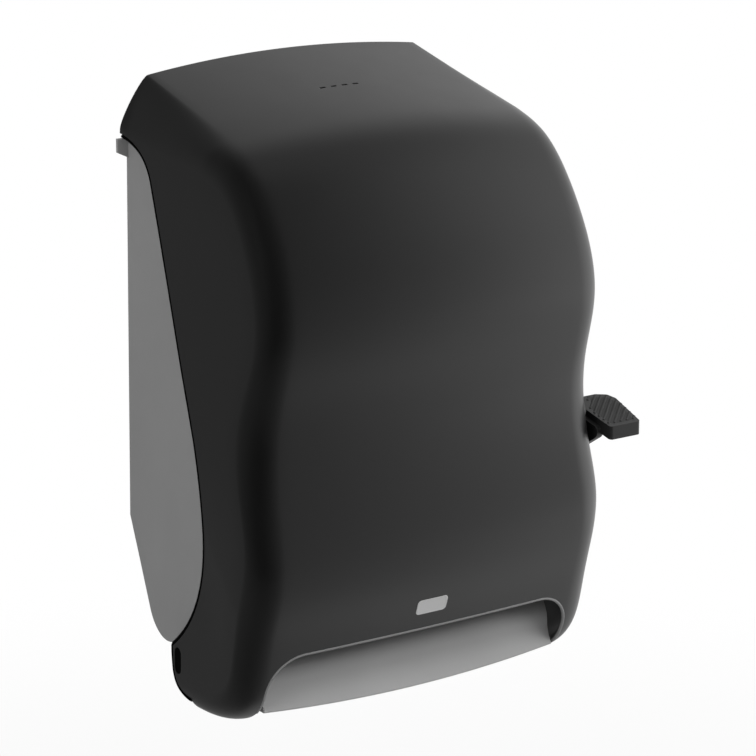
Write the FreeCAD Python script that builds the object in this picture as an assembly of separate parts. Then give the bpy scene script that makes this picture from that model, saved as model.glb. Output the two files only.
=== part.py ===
import FreeCAD, Part
import math
import os

from FreeCAD import Placement, Rotation, Vector

# Lever paper towel dispenser. Depths are counted forward from the wall and
# heights up from the lower edge of the chute, in millimetres. The finished
# pieces are moved down by plate_centre_height, so that the origin is on the
# wall, in the middle of the four wall screws. X points to the right, -Y to
# the front.

# Cover: outline, walls and cut-outs
cover_half_width = 164.0
cover_wall = 3.0
cover_corner_radius = 25.0
cover_top_height = 471.5
cover_crown = 9.0
cover_bow = 5.0
cover_lean_back = 17.0
cover_lean_front = 22.0
cover_lean_start = 90.0
cover_side_bulge = 1.5
cover_shoulder_drop = 45.0
cover_shoulder_width = 26.0
cover_shoulder_reach = 130.0
cover_shoulder_flatness = 0.13
cover_strips = 24
cover_core_depth = 60.0
cover_core_height = 240.0
cover_core_radius = 15.0
cover_foot_depth = 196.0
cover_foot_drop = 15.5
upper_bulge_depth = cover_foot_depth + 33.5
upper_bulge_height = 312.0
waist_depth = cover_foot_depth + 15.5
waist_height = 226.0
lower_bulge_depth = cover_foot_depth + 28.4
lower_bulge_height = 132.0
mouth_half_width = 140.0
mouth_height = 52.0
mouth_corner_radius = 30.0
key_slot_length = 5.0
key_slot_width = 2.2
key_slot_pitch = 10.0
key_slot_count = 4
seam_top_height = 425.0
seam_turn_depth = 27.0
seam_turn_height = 418.5
seam_upper_depth = 48.4
seam_upper_height = 397.0
seam_middle_depth = 122.5
seam_middle_height = 219.0
seam_front_depth = 140.5
seam_front_height = 150.0
seam_lower_depth = 110.0
seam_lower_height = 54.5

# Chassis: wall plate and cheeks
chassis_half_width = 149.3
chassis_half_width_top = 142.5
chassis_half_width_front = 161.0
chassis_half_width_front_top = 144.5
chassis_depth = 150.0
cheek_wall = 3.0
cheek_overlap = 8.0
cheek_tab_length = 12.0
cheek_tab_height = 14.0
cheek_tab_heights = (150.0, cover_top_height - 81.5)
ear_height = 418.5
ear_size = 11.0
ear_reach = 152.6
plate_wall = 3.0
plate_top_height = cover_top_height - 17.0
plate_corner_width = 20.0
plate_corner_drop = 36.0
plate_foot_height = 115.0
plate_rib_depth = 5.0
plate_rib_wall = 2.5
plate_rib_x = 60.0
plate_centre_height = 290.0
wall_screw_spacing_x = 200.0
wall_screw_spacing_z = plate_top_height - 194.5
wall_hole_radius = 2.75
wall_pad_radius = 7.5
wall_pad_depth = 2.0

# Cover hinge
hinge_depth = 102.0
hinge_height = 20.0
hinge_pin_radius = 4.0
hinge_head_radius = 6.5
hinge_ear_radius = 9.0
hinge_boss_radius = 7.5
hinge_dimple_radius = 5.0
hinge_dimple_length = 12.0
hinge_dimple_depth = 1.5

# Fits
running_gap = 0.05
side_gap = 0.3

# Mechanism frames
frame_x = 108.0
frame_wall = 4.0
frame_top_height = 172.0
frame_nose_depth = cover_foot_depth - 7.0
frame_flange = 12.0
frame_flange_wall = 3.0

# Feed roller
feed_depth = frame_nose_depth - 41.0
feed_height = 78.0
feed_radius = 19.0
feed_core_radius = 15.0
feed_half_length = 97.0
feed_shaft_radius = 4.0
feed_sleeve_count = 4
feed_sleeve_length = 36.0
thumbwheel_radius = 17.0
thumbwheel_width = 9.0
thumbwheel_notches = 12
bush_wall = 2.5
bush_flange = 2.0
bush_flange_wall = 1.2
clip_wall = 1.0
clip_rim = 3.0

# Pinch roller and its carrier
paper_gap = 0.3
pinch_radius = 9.0
pinch_half_length = 94.0
pinch_shaft_radius = 2.5
pinch_angle = 20.0
pinch_arm_x = 99.0
pinch_arm_wall = 3.0
pinch_arm_half_width = 6.0
pinch_pivot_depth = feed_depth - 44.0
pinch_pivot_height = feed_height + 20.0
pinch_rod_radius = 3.0
pinch_tube_radius = 5.5

# Transfer bar
transfer_depth = feed_depth + 18.0
transfer_height = 126.0
transfer_drop = 20.0
transfer_wall = 3.0
transfer_pivot_radius = 3.0
transfer_notch_pitch = 20.0
transfer_notch_width = 8.0

# Gears
gear_module = 1.5
sector_full_teeth = 108
sector_teeth = 17
sector_teeth_past = 2
pinion_teeth = 18
pressure_angle = 20.0
gear_backlash = 0.16
sector_x = 121.0
sector_width = 7.0
sector_hub_radius = 11.0
sector_hub_length = 13.0
sector_hub_start = sector_x - 4.0
sector_window_radius = 9.0
sector_window_reach = 57.5
sector_window_angle = 0.27
pinion_width = 10.0
clutch_radius = 7.5

# Lever
lever_height = 142.0
lever_shaft_radius = 5.0
lever_hub_radius = 15.0
lever_arm_x = 165.8
lever_arm_wall = 6.0
lever_boss_radius = 13.0
paddle_inner_x = 170.0
paddle_outer_x = 206.0
paddle_back_depth = 163.0
paddle_front_depth = 216.0
paddle_height = 201.0
paddle_thickness = 11.0
paddle_fall = 10.0
grip_border = 4.0
grip_recess = 1.2

# Roll holder
roll_half_width = 101.5
roll_depth = 112.0
roll_height = 300.0
hub_plug_radius = 19.0
hub_plug_length = 12.0
hub_plug_taper = 1.5
hub_fins = 3
hub_fin_wall = 2.5
hub_flange_radius = 27.0
hub_flange_wall = 3.5
hub_bore_radius = 6.0
roll_arm_x = 108.5
roll_arm_wall = 6.0
roll_arm_half_height = 16.0
roll_arm_pin_depth = 16.0
roll_arm_pin_radius = 3.0
knuckle_radius = 7.0
knuckle_top = 12.0
bracket_half_height = 28.0
bracket_lug = 6.0
bracket_wall = 3.0

# Chute and blade
chute_half_width = mouth_half_width - 4.0
chute_wall = 2.5
chute_plan_radius = 459.0
chute_lip_depth = cover_foot_depth - 5.0
chute_lip_drop = 1.5
chute_top_depth = chute_lip_depth - 13.0
chute_shelf_height = 52.0
chute_back_depth = 84.0
chute_back_trim = 3.0
blade_depth = frame_nose_depth - 2.0
blade_wall = 1.0
blade_edge_height = 60.0
blade_height = 15.0
blade_pitch = 6.0
blade_tooth = 3.0
crossbar_depth = 8.0
crossbar_height = 12.0

# Lock
lock_depth = 83.0
lock_half_width = 24.0
lock_half_depth = 15.0
lock_wall = 2.0
lock_floor_height = cover_top_height - 38.0
lock_slide_height = cover_top_height - 25.0
lock_slide_thickness = 7.0
lock_travel = 5.0
keeper_height = cover_top_height - 9.0
keeper_reach = 44.0
keeper_wall = 3.0
keeper_half_width = 14.0
keeper_screw_x = 8.0
keeper_screw_drop = 12.0
keeper_foot_drop = 24.0
keeper_drop = 5.0
hook_half_width = 8.0
hook_wall = 4.0

# Screws and springs
screw_radius = 2.0
screw_head_radius = 4.0
screw_head_height = 2.4
spring_wire = 1.2
spring_steps = 10
leaf_wall = 0.6
leaf_width = 8.0

CORE = Vector(0, -cover_core_depth, cover_core_height)
FAR = 400.0
SEAM_WAY = Vector(0, -1, -0.05).normalize()


def at(x, depth, height):
    return Vector(x, -depth, height)


def box(x_low, x_high, depth_low, depth_high, low, high):
    size = (x_high - x_low, depth_high - depth_low, high - low)
    return Part.makeBox(*size, at(x_low, depth_high, low))


def rod(radius, x_low, x_high, depth, height):
    """A cylinder along X."""
    return Part.makeCylinder(radius, x_high - x_low, at(x_low, depth, height), Vector(1, 0, 0))


def ring(bore, radius, x_low, x_high, depth, height):
    return rod(radius, x_low, x_high, depth, height).cut(rod(bore, x_low, x_high, depth, height))


def post(radius, x, depth, low, high):
    """A cylinder along Z."""
    return Part.makeCylinder(radius, high - low, at(x, depth, low), Vector(0, 0, 1))


def stud(radius, x, height, depth_low, depth_high):
    """A cylinder along the depth."""
    return Part.makeCylinder(radius, depth_high - depth_low, at(x, depth_low, height), Vector(0, -1, 0))


def side_points(outline, x=0.0):
    return [at(x, depth, height) for depth, height in outline]


def smooth(points):
    curve = Part.BSplineCurve()
    curve.interpolate(points)
    return curve


def side_plate(outline, x_low, x_high):
    """A plate of constant thickness along X, with straight sides."""
    points = side_points(outline, x_low)
    return Part.Face(Part.makePolygon(points + points[:1])).extrude(Vector(x_high - x_low, 0, 0))


def side_prism(edges, x_low, x_high):
    """A plate along X from side edges drawn at X = 0."""
    face = Part.Face(Part.Wire(Part.__sortEdges__(edges)))
    face.translate(Vector(x_low, 0, 0))
    return face.extrude(Vector(x_high - x_low, 0, 0))


def shifted(points, distance):
    """Side points moved sideways off the smooth curve that runs through them."""
    curve = smooth(points)
    moved = []
    for point in points:
        along = curve.tangent(curve.parameter(point))[0]
        moved.append(point + Vector(0, -along.z, along.y) * distance)
    return moved


def tangent_arc(start, way, end):
    """An edge that leaves the start along a way, and the way in which it arrives."""
    chord = end - start
    across = chord / chord.Length
    arrival = across * (2 * across.dot(way)) - way
    if way.getAngle(across) < 0.001:
        return Part.makeLine(start, end), arrival
    lean = way + across
    lean = lean / lean.Length
    middle = start + lean * (chord.Length / 2 / across.dot(lean))
    return Part.Arc(start, middle, end).toShape(), arrival


def arc_chain(points, way):
    """Arcs from point to point, each one carrying on the last one's direction."""
    edges = []
    for start, end in zip(points, points[1:]):
        edge, way = tangent_arc(start, way, end)
        edges.append(edge)
    return edges


def chain_shifted(points, way, distance):
    """Points of a chain of arcs that runs beside the given one."""
    ways = [way]
    for start, end in zip(points, points[1:]):
        ways.append(tangent_arc(start, ways[-1], end)[1])
    return [point + Vector(0, -w.z, w.y) * distance for point, w in zip(points, ways)]


def lined(points):
    """Straight side edges from point to point."""
    return Part.makePolygon(points).Edges


def fuse(*shapes):
    return shapes[0].multiFuse(list(shapes[1:])).removeSplitter()


def cut(shape, *tools):
    for tool in tools:
        shape = shape.cut(tool)
    return shape


def mirrored(shape):
    return shape.mirror(Vector(0, 0, 0), Vector(1, 0, 0))


def pair(shape):
    """The piece and its mirror image on the other side."""
    return Part.makeCompound([shape, mirrored(shape)])


def save(name, shape):
    placed = shape.copy()
    placed.translate(Vector(0, 0, -plate_centre_height))
    placed.exportStep(os.path.join("parts", name + ".step"))


# Places that several pieces share

def lever_depth():
    """The lever turns at the gears' centre distance from the feed roller."""
    span = gear_module * (sector_full_teeth + pinion_teeth) / 2
    return feed_depth - math.sqrt(span ** 2 - (lever_height - feed_height) ** 2)


def gear_line():
    """Angle below straight forward from the lever's pivot to the feed roller."""
    return math.degrees(math.atan2(lever_height - feed_height, feed_depth - lever_depth()))


def pinch_place():
    span = feed_radius + pinch_radius + paper_gap
    angle = math.radians(pinch_angle)
    return feed_depth - span * math.cos(angle), feed_height - span * math.sin(angle)


def cheek_x(depth, height):
    """Outer face of the right cheek."""
    up = (height + cover_foot_drop) / (cover_top_height + cover_foot_drop)
    back = chassis_half_width + (chassis_half_width_top - chassis_half_width) * up
    front = chassis_half_width_front + (chassis_half_width_front_top - chassis_half_width_front) * up
    return back + (front - back) * depth / chassis_depth


def cover_x(depth, height):
    """Outer side of the cover, which leans in towards the top and the front."""
    reach = cover_top_height - cover_lean_start
    up = max(height - cover_lean_start, 0) / reach
    lean = cover_lean_back + (cover_lean_front - cover_lean_back) * depth / upper_bulge_depth
    return cover_half_width - lean * up ** 1.35


# Cover

def cover_outline():
    """Side outline of the cover along its rounded corners, from the wall over the top and down the front."""
    top = cover_top_height
    foot = cover_foot_depth
    return side_points([
        (-45.0, top + 9.5),
        (10.0, top - 2.0),
        (70.0, top - 15.0),
        (130.0, top - 28.3),
        (foot - 30.0, top - 41.0),
        (foot - 5.0, top - 64.0),
        (foot + 15.0, top - 94.0),
        (upper_bulge_depth - 2.5, upper_bulge_height + 26),
        (upper_bulge_depth, upper_bulge_height),
        (upper_bulge_depth - 7.0, upper_bulge_height - 34),
        (waist_depth + 3.2, waist_height + 24),
        (waist_depth, waist_height),
        (waist_depth + 4.2, waist_height - 48),
        (lower_bulge_depth - 3.2, lower_bulge_height + 22),
        (lower_bulge_depth, lower_bulge_height),
        (lower_bulge_depth - 3.5, lower_bulge_height - 27),
        (foot + 15.0, 73.0),
        (foot + 6.5, 42.0),
        (foot - 6.0, 11.0),
        (foot - 36.0, 7.0 - cover_foot_drop),
        (foot - 76.0, -cover_foot_drop),
        (foot - 126.0, 2.0 - cover_foot_drop),
        (foot - 166.0, 9.0 - cover_foot_drop),
    ])


def stations(points, count):
    """Points along the smooth outline, closer together where it turns."""
    curve = smooth(points)
    first, last = curve.FirstParameter, curve.LastParameter
    steps = 400
    walk = [first + (last - first) * step / steps for step in range(steps + 1)]
    spots = [curve.value(place) for place in walk]
    ways = [curve.tangent(place)[0] for place in walk]
    travel = [0.0]
    for step in range(steps):
        length = (spots[step + 1] - spots[step]).Length
        turn = ways[step].getAngle(ways[step + 1])
        travel.append(travel[-1] + length / 900 + turn / 5)
    chosen = []
    step = 0
    for index in range(count + 1):
        while step < steps and travel[step] < travel[-1] * index / count:
            step += 1
        chosen.append(spots[step])
    return chosen


def shoulder_share(point):
    """How far the corner has opened into a long soft shoulder: fully by the wall, not at all in front."""
    if point.z < CORE.z:
        return 0
    return 1 - min(max(-point.y / cover_shoulder_reach, 0), 1)


def cover_section(point, inset, rounded):
    """Cut through the cover along the spoke from its core to a point of the side outline."""
    spoke = point - CORE
    reach = spoke.Length
    outward = spoke / reach
    share = shoulder_share(point)
    radius = cover_corner_radius - inset
    drop = radius + (cover_shoulder_drop - cover_corner_radius) * share
    width = radius + (cover_shoulder_width - cover_corner_radius) * share
    bend = 1 - math.sqrt(0.5) + cover_shoulder_flatness * share
    shoulder_place = CORE + outward * (reach - drop)
    side = cover_x(-shoulder_place.y, shoulder_place.z) - inset
    root = cover_x(-CORE.y, CORE.z) + cover_side_bulge - inset
    forward = min(max(-point.y / upper_bulge_depth, 0), 1)
    rise = max(point.z, 0) / cover_top_height
    crown = cover_bow * forward + cover_crown * rise ** 3

    def spot(x, distance):
        return CORE + outward * distance + Vector(x, 0, 0)

    middle = spot(0, reach + crown)
    half = [
        spot(root, cover_core_radius if rounded else cover_core_radius / 2),
        spot(side, reach - drop),
        spot(side - bend * width, reach - bend * drop),
        spot(side - width, reach),
    ]
    other = turned_back(half)
    if not rounded:
        return Part.makePolygon(half + [middle] + other + half[:1])
    edges = [
        Part.makeLine(half[0], half[1]),
        Part.Arc(*half[1:]).toShape(),
        Part.Arc(half[3], middle, other[0]).toShape(),
        Part.Arc(*other[:3]).toShape(),
        Part.makeLine(other[2], other[3]),
        Part.makeLine(other[3], half[0]),
    ]
    return Part.Wire(edges)


def turned_back(points):
    return [Vector(-point.x, point.y, point.z) for point in reversed(points)]


def cover_block(inset, rounded):
    """The cover filled in to its core, pulled in all round by the inset."""
    points = shifted(cover_outline(), inset)
    if inset:
        points.insert(0, points[0] + (points[0] - points[1]) * 0.3)
        points.append(points[-1] + (points[-1] - points[-2]) * 0.5)
    sections = [cover_section(point, inset, rounded) for point in stations(points, cover_strips)]
    return Part.makeLoft(sections, True, True)


def seam_points():
    """Rear edge of the cover's side, from the wall to the heel."""
    return side_points([
        (0.0, seam_top_height),
        (seam_turn_depth, seam_turn_height),
        (seam_upper_depth, seam_upper_height),
        (seam_middle_depth, seam_middle_height),
        (seam_front_depth, seam_front_height),
        (seam_lower_depth, seam_lower_height),
        (hinge_depth - 11.0, hinge_height + 17.4),
    ])


def behind_seam():
    """Everything that the cover leaves to the chassis behind its rear edge."""
    seam = seam_points()
    heel = [seam[-1]] + side_points([
        (hinge_depth - 9.0, hinge_height - 3.0),
        (hinge_depth + 16.0, hinge_height - 23.0),
    ])
    round_back = [heel[-1]] + side_points([
        (hinge_depth + 16.0, -FAR),
        (-FAR, -FAR),
        (-FAR, FAR + plate_centre_height),
        (0.0, FAR + plate_centre_height),
        (0.0, seam[0].z),
    ])
    edges = arc_chain(seam, SEAM_WAY) + arc_chain(heel, Vector(0, 0, -1)) + lined(round_back)
    return side_prism(edges, -FAR, FAR)


def mouth():
    """Opening at the cover's foot, with large rounded upper corners."""
    low = -4 * cover_foot_drop
    block = box(-mouth_half_width, mouth_half_width, 0, FAR, low, mouth_height)
    edges = [edge for edge in block.Edges if edge.BoundBox.YLength > FAR - 1 and edge.BoundBox.ZMin > 0]
    return block.makeFillet(mouth_corner_radius, edges)


def key_slots():
    slots = []
    for index in range(key_slot_count):
        x = (index - (key_slot_count - 1) / 2) * key_slot_pitch
        half = key_slot_length / 2
        slots.append(box(
            x - half, x + half,
            lock_depth - key_slot_width / 2, lock_depth + key_slot_width / 2,
            keeper_height - 6, FAR + plate_centre_height,
        ))
    return slots


def hinge_dimple():
    """Upright oblong recess round the hinge pin on the cover's side."""
    x = cover_x(hinge_depth, hinge_height) - hinge_dimple_depth
    radius = hinge_dimple_radius
    top = hinge_height + hinge_dimple_length
    low = rod(radius, x, x + 9, hinge_depth, hinge_height)
    high = rod(radius, x, x + 9, hinge_depth, top)
    middle = box(x, x + 9, hinge_depth - radius, hinge_depth + radius, hinge_height, top)
    return fuse(low, high, middle)


def heel_gap():
    """Room in the cover's bottom for the cheeks' ears while the cover swings down."""
    x = cheek_x(hinge_depth, hinge_height) + side_gap
    return box(-x, x, 0, hinge_depth, -FAR, hinge_height - hinge_boss_radius - 2)


def front_cover():
    shell = cover_block(0.0, True).cut(behind_seam()).cut(cover_block(cover_wall, False))
    hole = rod(hinge_pin_radius + running_gap, -FAR, FAR, hinge_depth, hinge_height)
    dimple = hinge_dimple()
    return cut(shell, mouth(), heel_gap(), hole, dimple, mirrored(dimple), *key_slots())


# Chassis

def chassis_frame(depth, low_x, high_x, inset):
    low, high = -cover_foot_drop, cover_top_height
    right = [at(low_x - inset, depth, low), at(high_x - inset, depth, high)]
    points = right + turned_back(right)
    return Part.makePolygon(points + points[:1])


def chassis_block(inset):
    """The space between the cheeks' outer faces, which widens forward, pulled in by the inset."""
    back = chassis_frame(0, chassis_half_width, chassis_half_width_top, inset)
    front = chassis_frame(chassis_depth, chassis_half_width_front, chassis_half_width_front_top, inset)
    return Part.makeLoft([back, front], True, True)


def foot_points():
    """The chassis's lower back edge: straight from the wall, then curling forward."""
    return side_points([
        (0.0, plate_foot_height),
        (36.5, hinge_height + 27.0),
        (hinge_depth - 23.0, hinge_height + 12.5),
    ])


def foot_way():
    points = foot_points()
    return (points[1] - points[0]).normalize()


def cheek_outline():
    """Side outline of a cheek: it reaches under the cover and down to the hinge."""
    front = chain_shifted(seam_points()[:-1], SEAM_WAY, -cheek_overlap)
    foot = foot_points()
    ear_bottom = at(0, hinge_depth, hinge_height - hinge_ear_radius)
    ear_front = at(0, hinge_depth + hinge_ear_radius, hinge_height)
    ear_middle = at(0, hinge_depth + 0.7 * hinge_ear_radius, hinge_height - 0.7 * hinge_ear_radius)
    edges = arc_chain(front, SEAM_WAY) + arc_chain(foot, foot_way())
    edges += [
        Part.makeLine(front[-1], ear_front),
        Part.Arc(ear_front, ear_middle, ear_bottom).toShape(),
        Part.makeLine(ear_bottom, foot[-1]),
    ]
    return edges + lined([foot[0], at(0, 0, front[0].z), front[0]])


def cheek_ear():
    """Small hook beside the seam's upper end, sloped underneath."""
    inner = cheek_x(0, ear_height) - cheek_wall / 2
    low, high = ear_height - ear_size / 2, ear_height + ear_size / 2
    plan = [(inner, low - ear_size / 2), (ear_reach, low), (ear_reach, high), (inner, high)]
    points = [at(x, 0, height) for x, height in plan]
    return Part.Face(Part.makePolygon(points + points[:1])).extrude(at(0, plate_wall, 0))


def right_cheek_sheet():
    """The cheek with its screw tabs and the ear by the wall, without the lever's boss."""
    sheet = chassis_block(0.0).cut(chassis_block(cheek_wall))
    sheet = sheet.common(side_prism(cheek_outline(), 0, FAR))
    pieces = [sheet]
    for height in cheek_tab_heights:
        x = cheek_x(0, height) - cheek_wall / 2
        low = height - cheek_tab_height / 2
        pieces.append(box(
            x - cheek_tab_length, x,
            plate_wall, plate_wall + frame_flange_wall,
            low, low + cheek_tab_height,
        ))
    pieces.append(cheek_ear())
    inner = cheek_x(hinge_depth, hinge_height) - cheek_wall / 2
    side = cover_x(hinge_depth, hinge_height) - cover_wall - 3 * side_gap
    pieces.append(rod(hinge_boss_radius, inner, side, hinge_depth, hinge_height))
    holes = [cheek_screw_hole(height) for height in cheek_tab_heights]
    holes.append(rod(hinge_pin_radius, 0, FAR, hinge_depth, hinge_height))
    return cut(fuse(*pieces), *holes)


def cheek_screw_x(height):
    return cheek_x(0, height) - cheek_wall - cheek_tab_length / 2


def cheek_screw_hole(height):
    return stud(screw_radius, cheek_screw_x(height), height, 0, 10)


def right_cheek():
    depth = lever_depth()
    inner = cheek_x(depth, lever_height) - cheek_wall - 1
    boss = rod(lever_boss_radius, inner, lever_arm_x - side_gap, depth, lever_height)
    bore = rod(lever_shaft_radius + bush_wall, 0, FAR, depth, lever_height)
    return fuse(right_cheek_sheet(), boss).cut(bore)


def wall_screw_places():
    half_x, half_z = wall_screw_spacing_x / 2, wall_screw_spacing_z / 2
    return [(x, plate_centre_height + z) for x in (-half_x, half_x) for z in (-half_z, half_z)]


def plate_corner():
    """What the wall plate leaves to the cover's leaning shoulder."""
    high = plate_top_height + 5
    outer = cheek_x(0, high) + 5
    plan = [(outer, high - plate_corner_drop), (outer, high), (outer - plate_corner_width - 5, high)]
    points = [at(x, -1, height) for x, height in plan]
    return Part.Face(Part.makePolygon(points + points[:1])).extrude(at(0, plate_wall + 3, 0))


def back_plate():
    """Wall plate whose foot curves forward under the mechanism."""
    outer = foot_points()
    way = foot_way()
    inner = chain_shifted(outer, way, -plate_wall)
    inner[0] += way * ((plate_wall + inner[0].y) / -way.y)
    top = at(0, 0, plate_top_height)
    inner_top = at(0, plate_wall, plate_top_height)
    edges = arc_chain(outer, way) + arc_chain(inner, way)
    edges += lined([outer[0], top, inner_top, inner[0]]) + lined([outer[-1], inner[-1]])
    plate = side_prism(edges, -FAR, FAR).common(chassis_block(cheek_wall))
    corner = plate_corner()
    plate = cut(plate, corner, mirrored(corner))
    pads = [stud(wall_pad_radius, x, z, 0, plate_wall + wall_pad_depth) for x, z in wall_screw_places()]
    ribs = []
    for x in (-plate_rib_x, plate_rib_x):
        half = plate_rib_wall / 2
        ribs.append(box(
            x - half, x + half, plate_wall - 1, plate_wall + plate_rib_depth,
            plate_foot_height + 10, plate_top_height - 10,
        ))
    holes = [stud(wall_hole_radius, x, z, 0, FAR) for x, z in wall_screw_places()]
    for height in cheek_tab_heights:
        holes += [cheek_screw_hole(height), mirrored(cheek_screw_hole(height))]
    holes += frame_screw_holes() + [mirrored(hole) for hole in frame_screw_holes()]
    holes += keeper_screw_holes()
    return cut(fuse(plate, *pads, *ribs), *holes)


def screw(seat, way, length):
    """A hexagonal screw head that stands on its seat along the way, with the shank behind it."""
    turns = [math.radians(60 * corner) for corner in range(7)]
    corners = [Vector(math.cos(turn), math.sin(turn), 0) * screw_head_radius for turn in turns]
    head = Part.Face(Part.makePolygon(corners)).extrude(Vector(0, 0, screw_head_height))
    shank = Part.makeCylinder(screw_radius - running_gap, length, Vector(0, 0, 0), Vector(0, 0, -1))
    body = fuse(head, shank)
    body.Placement = Placement(seat, Rotation(Vector(0, 0, 1), way))
    return body


def wall_screw(x, height, seat):
    """A screw driven towards the wall, with its head on the seat."""
    return screw(at(x, seat, height), Vector(0, -1, 0), seat - 0.5)


def cheek_screws():
    seat = plate_wall + frame_flange_wall
    return pair(Part.makeCompound([wall_screw(cheek_screw_x(h), h, seat) for h in cheek_tab_heights]))


# Hinge pins

def hinge_pins():
    """Headed pins pushed outward through the cheeks' ears into the cover."""
    inner = cheek_x(hinge_depth, hinge_height) - cheek_wall
    outer = cover_x(hinge_depth, hinge_height) - hinge_dimple_depth - 0.2
    head = rod(hinge_head_radius, inner - 3.2, inner - 0.8, hinge_depth, hinge_height)
    shank = rod(hinge_pin_radius, inner - 2, outer, hinge_depth, hinge_height)
    return pair(fuse(head, shank))


# Mechanism frames

def frame_outline():
    top = frame_top_height
    shelf = chute_shelf_height
    return [
        (plate_wall, top),
        (60.0, top),
        (130.0, top - 14),
        (frame_nose_depth - 14, transfer_height + 9),
        (frame_nose_depth, transfer_height - 12),
        (frame_nose_depth, blade_edge_height + 4),
        (chute_top_depth - 16, shelf),
        (112.0, shelf),
        (70.0, shelf + 10),
        (32.0, 98.0),
        (plate_wall, plate_foot_height + 8),
    ]


def frame_screw_heights():
    return (plate_foot_height + 17, frame_top_height - 9)


def frame_screw_holes():
    x = frame_x + frame_wall + frame_flange / 2
    return [stud(screw_radius, x, height, 0, 10) for height in frame_screw_heights()]


def frame_foot_screw_places():
    x = frame_x + frame_wall + frame_flange / 2
    return [(x, feed_depth - 16), (x, feed_depth + 2)]


def side_frame():
    """Plate that carries the rollers, with a flange on the wall plate and a foot on the chute."""
    inner, outer = frame_x, frame_x + frame_wall
    plate = side_plate(frame_outline(), inner, outer)
    seat = plate_wall
    flange = box(
        outer - 1, outer + frame_flange, seat, seat + frame_flange_wall,
        plate_foot_height + 9, frame_top_height,
    )
    shelf = chute_shelf_height
    foot = box(
        outer - 1, outer + frame_flange, feed_depth - 24, feed_depth + 8,
        shelf, shelf + frame_flange_wall,
    )
    holes = [
        rod(feed_shaft_radius + bush_wall, 0, FAR, feed_depth, feed_height),
        rod(pinch_rod_radius, 0, FAR, pinch_pivot_depth, pinch_pivot_height),
        rod(transfer_pivot_radius + running_gap, 0, FAR, transfer_depth, transfer_height),
    ]
    for x, depth in frame_foot_screw_places():
        holes.append(post(screw_radius, x, depth, shelf - 9, shelf + 9))
    return cut(fuse(plate, flange, foot), *holes, *frame_screw_holes(), *crossbar_screw_holes())


def right_side_frame():
    bore = rod(lever_shaft_radius + bush_wall, 0, FAR, lever_depth(), lever_height)
    return side_frame().cut(bore)


def frame_screws():
    x = frame_x + frame_wall + frame_flange / 2
    seat = plate_wall + frame_flange_wall
    return pair(Part.makeCompound([wall_screw(x, height, seat) for height in frame_screw_heights()]))


def chute_screws():
    """Screws driven up through the chute's shelf into the frames' feet."""
    seat = chute_shelf_height - chute_wall
    length = chute_wall + frame_flange_wall - 0.5
    screws = []
    for x, depth in frame_foot_screw_places():
        screws.append(screw(at(x, depth, seat), Vector(0, 0, -1), length))
    return pair(Part.makeCompound(screws))


# Bushes and clips

def flanged_bush(shaft_radius, x_low, x_high, depth, height):
    """A bush whose flange is at its low end."""
    outer = shaft_radius + bush_wall
    body = rod(outer, x_low, x_high, depth, height)
    flange = rod(outer + bush_flange, x_low - bush_flange_wall, x_low, depth, height)
    bore = rod(shaft_radius + running_gap, x_low - 9, x_high + 9, depth, height)
    return fuse(body, flange).cut(bore)


def shaft_bushes():
    """Flanged bushes of the feed shaft in both frames, and of the lever's in one frame and the cheek."""
    feed = flanged_bush(feed_shaft_radius, frame_x, frame_x + frame_wall, feed_depth, feed_height)
    depth = lever_depth()
    inner = flanged_bush(lever_shaft_radius, frame_x, frame_x + frame_wall, depth, lever_height)
    start = cheek_x(depth, lever_height) - cheek_wall - 1
    outer = flanged_bush(lever_shaft_radius, start, lever_arm_x - side_gap, depth, lever_height)
    return Part.makeCompound([pair(feed), inner, outer])


def clip(shaft_radius, x, depth, height):
    return ring(shaft_radius, shaft_radius + clip_rim, x, x + clip_wall, depth, height)


# Feed roller

def feed_shaft():
    left = -(frame_x + frame_wall + side_gap + thumbwheel_width)
    right = sector_x + sector_width / 2 + pinion_width / 2 + side_gap + clip_wall + 1.5
    return rod(feed_shaft_radius, left, right, feed_depth, feed_height)


def feed_roller():
    """Roller core that the rubber sleeves are pressed on."""
    half = feed_half_length
    core = rod(feed_core_radius, -half, half, feed_depth, feed_height)
    return core.cut(rod(feed_shaft_radius, -half, half, feed_depth, feed_height))


def feed_sleeves():
    pitch = 2 * feed_half_length / feed_sleeve_count
    rings = []
    for index in range(feed_sleeve_count):
        low = -feed_half_length + pitch * (index + 0.5) - feed_sleeve_length / 2
        high = low + feed_sleeve_length
        rings.append(ring(feed_core_radius, feed_radius, low, high, feed_depth, feed_height))
    return Part.makeCompound(rings)


def feed_thumbwheel():
    """Notched wheel on the roller's left end, for threading the paper."""
    right = -(frame_x + frame_wall + side_gap)
    left = right - thumbwheel_width
    wheel = ring(feed_shaft_radius, thumbwheel_radius, left, right, feed_depth, feed_height)
    for index in range(thumbwheel_notches):
        angle = math.radians(360 * index / thumbwheel_notches)
        depth = feed_depth + (thumbwheel_radius + 1) * math.cos(angle)
        height = feed_height + (thumbwheel_radius + 1) * math.sin(angle)
        wheel = wheel.cut(rod(2.0, left, right, depth, height))
    return wheel


def feed_clip():
    x = sector_x + sector_width / 2 + pinion_width / 2 + side_gap
    return clip(feed_shaft_radius, x, feed_depth, feed_height)


# Pinch roller

def pinch_roller():
    depth, height = pinch_place()
    half = pinch_half_length
    body = rod(pinch_radius, -half, half, depth, height)
    ends = pinch_arm_x + pinch_arm_wall
    return fuse(body, rod(pinch_shaft_radius, -ends, ends, depth, height))


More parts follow.
